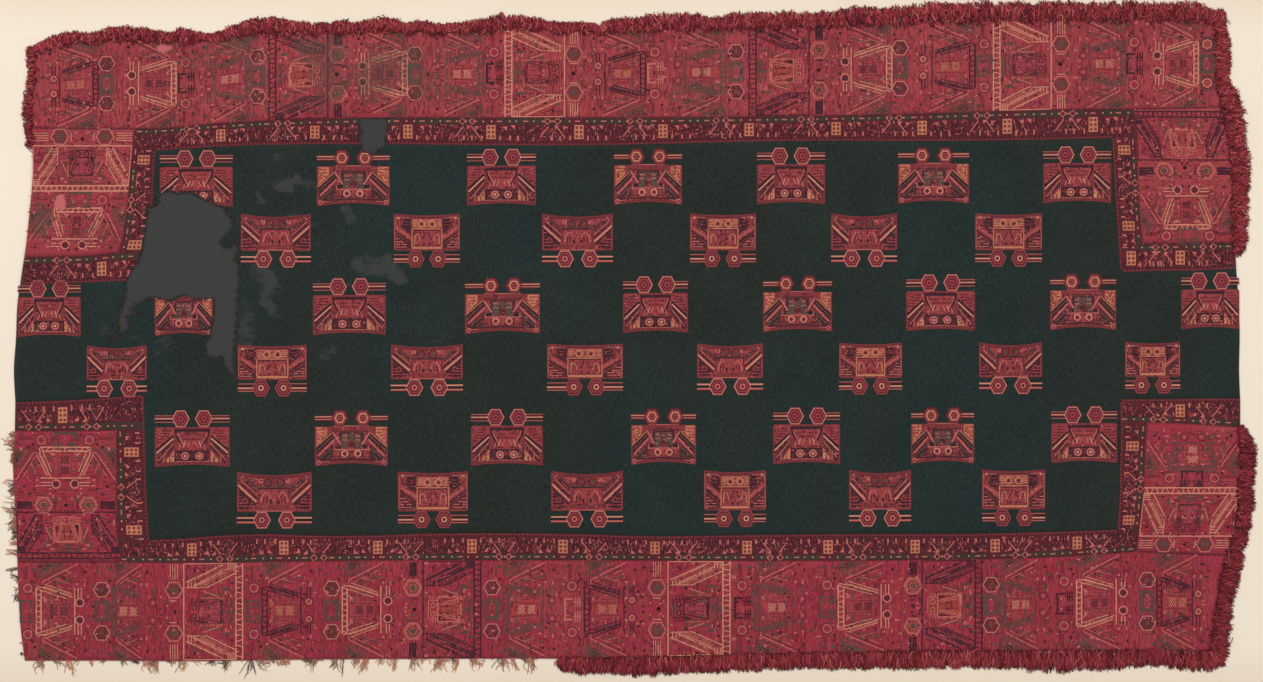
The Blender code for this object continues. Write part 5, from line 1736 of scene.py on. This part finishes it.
def make_floor():
    """The pale cloth that the mantle lies on, with a fine weave, and painted shade that makes it
    a little darker close to the mantle's long sides, like a soft shadow."""
    made, tree, shader = new_material("pale_linen", 0.95, 0.1)
    place = tree.nodes.new("ShaderNodeTexCoord").outputs["Object"]
    weave = noise_node(tree, stretched(tree, place, (900.0, 200.0, 1.0)), 1.0, 2.0)
    cross = noise_node(tree, stretched(tree, place, (200.0, 900.0, 1.0)), 1.0, 2.0)
    cloud = noise_node(tree, place, 1.6, 3.0)
    both = math_node(tree, "ADD", weave, cross)
    share = math_node(tree, "MULTIPLY_ADD", both, 0.5, math_node(tree, "MULTIPLY_ADD", cloud, 0.8, -0.4))
    shown = mixed(tree, share, colour(238, 222, 200), colour(252, 242, 226))
    split = tree.nodes.new("ShaderNodeSeparateXYZ")
    link(tree, place, split.inputs[0])
    # Painted shade: a soft darker strip along each of the mantle's long sides that fades out past its ends,
    # like the mantle's shadow on the cloth.
    along, across = (math_node(tree, "ABSOLUTE", split.outputs[k]) for k in (0, 1))
    shade = 1.0
    for reach, slope, start in ((across, 8.0, -4.9), (across, -2.5, 2.8), (along, -2.0, 3.6)):
        shade = math_node(tree, "MINIMUM", math_node(tree, "MULTIPLY_ADD", reach, slope, start), shade)
    shade = math_node(tree, "MULTIPLY", math_node(tree, "MAXIMUM", shade, 0.0), 0.8)
    shown = mixed(tree, shade, shown, colour(230, 212, 190))
    link(tree, shown, shader.inputs["Base Color"])
    bumped(tree, shader, both, 0.25, 0.0006)
    bpy.ops.mesh.primitive_plane_add(size=9.0, location=(0, 0, 0))
    floor = bpy.context.object
    floor.name = "floor"
    floor.data.materials.append(made)


def make_light():
    """A broad soft light from the upper left, a weaker one from the right, and a bright room."""
    for name, place, size, power in (
        ("key", (-4.2, 5.0, 6.0), 4.0, 392.0),
        ("fill", (4.8, 1.2, 6.0), 5.0, 164.0),
    ):
        data = bpy.data.lights.new(name, "AREA")
        data.size = size
        data.energy = power
        lamp = bpy.data.objects.new(name, data)
        lamp.location = place
        lamp.rotation_euler = (-Vector(place)).to_track_quat("-Z", "Y").to_euler()
        bpy.context.scene.collection.objects.link(lamp)
    world = bpy.data.worlds.new("room")
    world.use_nodes = True
    world.node_tree.nodes["Background"].inputs["Color"].default_value = (1.0, 0.97, 0.93, 1)
    world.node_tree.nodes["Background"].inputs["Strength"].default_value = 0.46
    bpy.context.scene.world = world
    bpy.context.scene.view_settings.view_transform = "Standard"
    bpy.context.scene.view_settings.look = "None"


def make_camera():
    """The camera looks straight down on the mantle, as it is shown. What it sees is so many plan
    steps wide, round a middle in plan steps."""
    steps_wide, middle = 1263, (631.5, 341.0)
    data = bpy.data.cameras.new("camera")
    data.lens = 85.0
    data.sensor_width = 36.0
    data.clip_end = 40.0
    camera = bpy.data.objects.new("camera", data)
    camera.location = (
        (middle[0] - CENTRE[0]) * STEP / 1000,
        (CENTRE[1] - middle[1]) * STEP / 1000,
        steps_wide * STEP / 1000 * data.lens / data.sensor_width,
    )
    bpy.context.scene.collection.objects.link(camera)
    bpy.context.scene.camera = camera


def main():
    """The whole scene: the setting, the cloth, its embroidery and its fringes."""
    make_camera()
    make_light()
    make_floor()
    make_sheets()
    looks = {
        name: wool(f"{name}_yarn_look", shade, 420, 420, 0.9, 0.3, WOOL["green"], 240.0, most=0.65)
        for name, shade in WOOL.items()
    }
    make_blocks(looks)
    make_border(looks)
    make_band(looks)
    make_seams(looks)
    # The fringe's ramp runs from near-black maroon, the painted shade of the low yarns, to pale pink for the
    # yarns on top.
    fringe_look = wool(
        "fringe_yarn_look", WOOL["rose"], 500, 500, 0.5, 0.3,
        tint=((0.0, colour(58, 10, 18)), (0.3, colour(92, 18, 30)), (0.55, colour(138, 38, 50)),
              (0.8, colour(172, 66, 74)), (0.97, colour(188, 94, 90)), (1.0, colour(192, 114, 92))),
    )
    ends_look = wool(
        "ends_yarn_look", WOOL["salmon"], 500, 500, 0.5, 0.3,
        tint=((0.0, colour(206, 150, 120)), (0.4, colour(188, 110, 92)), (0.62, colour(120, 96, 80)),
              (1.0, colour(64, 64, 58))),
    )
    rng = np.random.default_rng(9)
    for fringe in FRINGES:
        make_fringe(fringe, fringe_look, rng)
    for ends in LOOSE_ENDS:
        make_loose_ends(ends, ends_look, rng)


main()
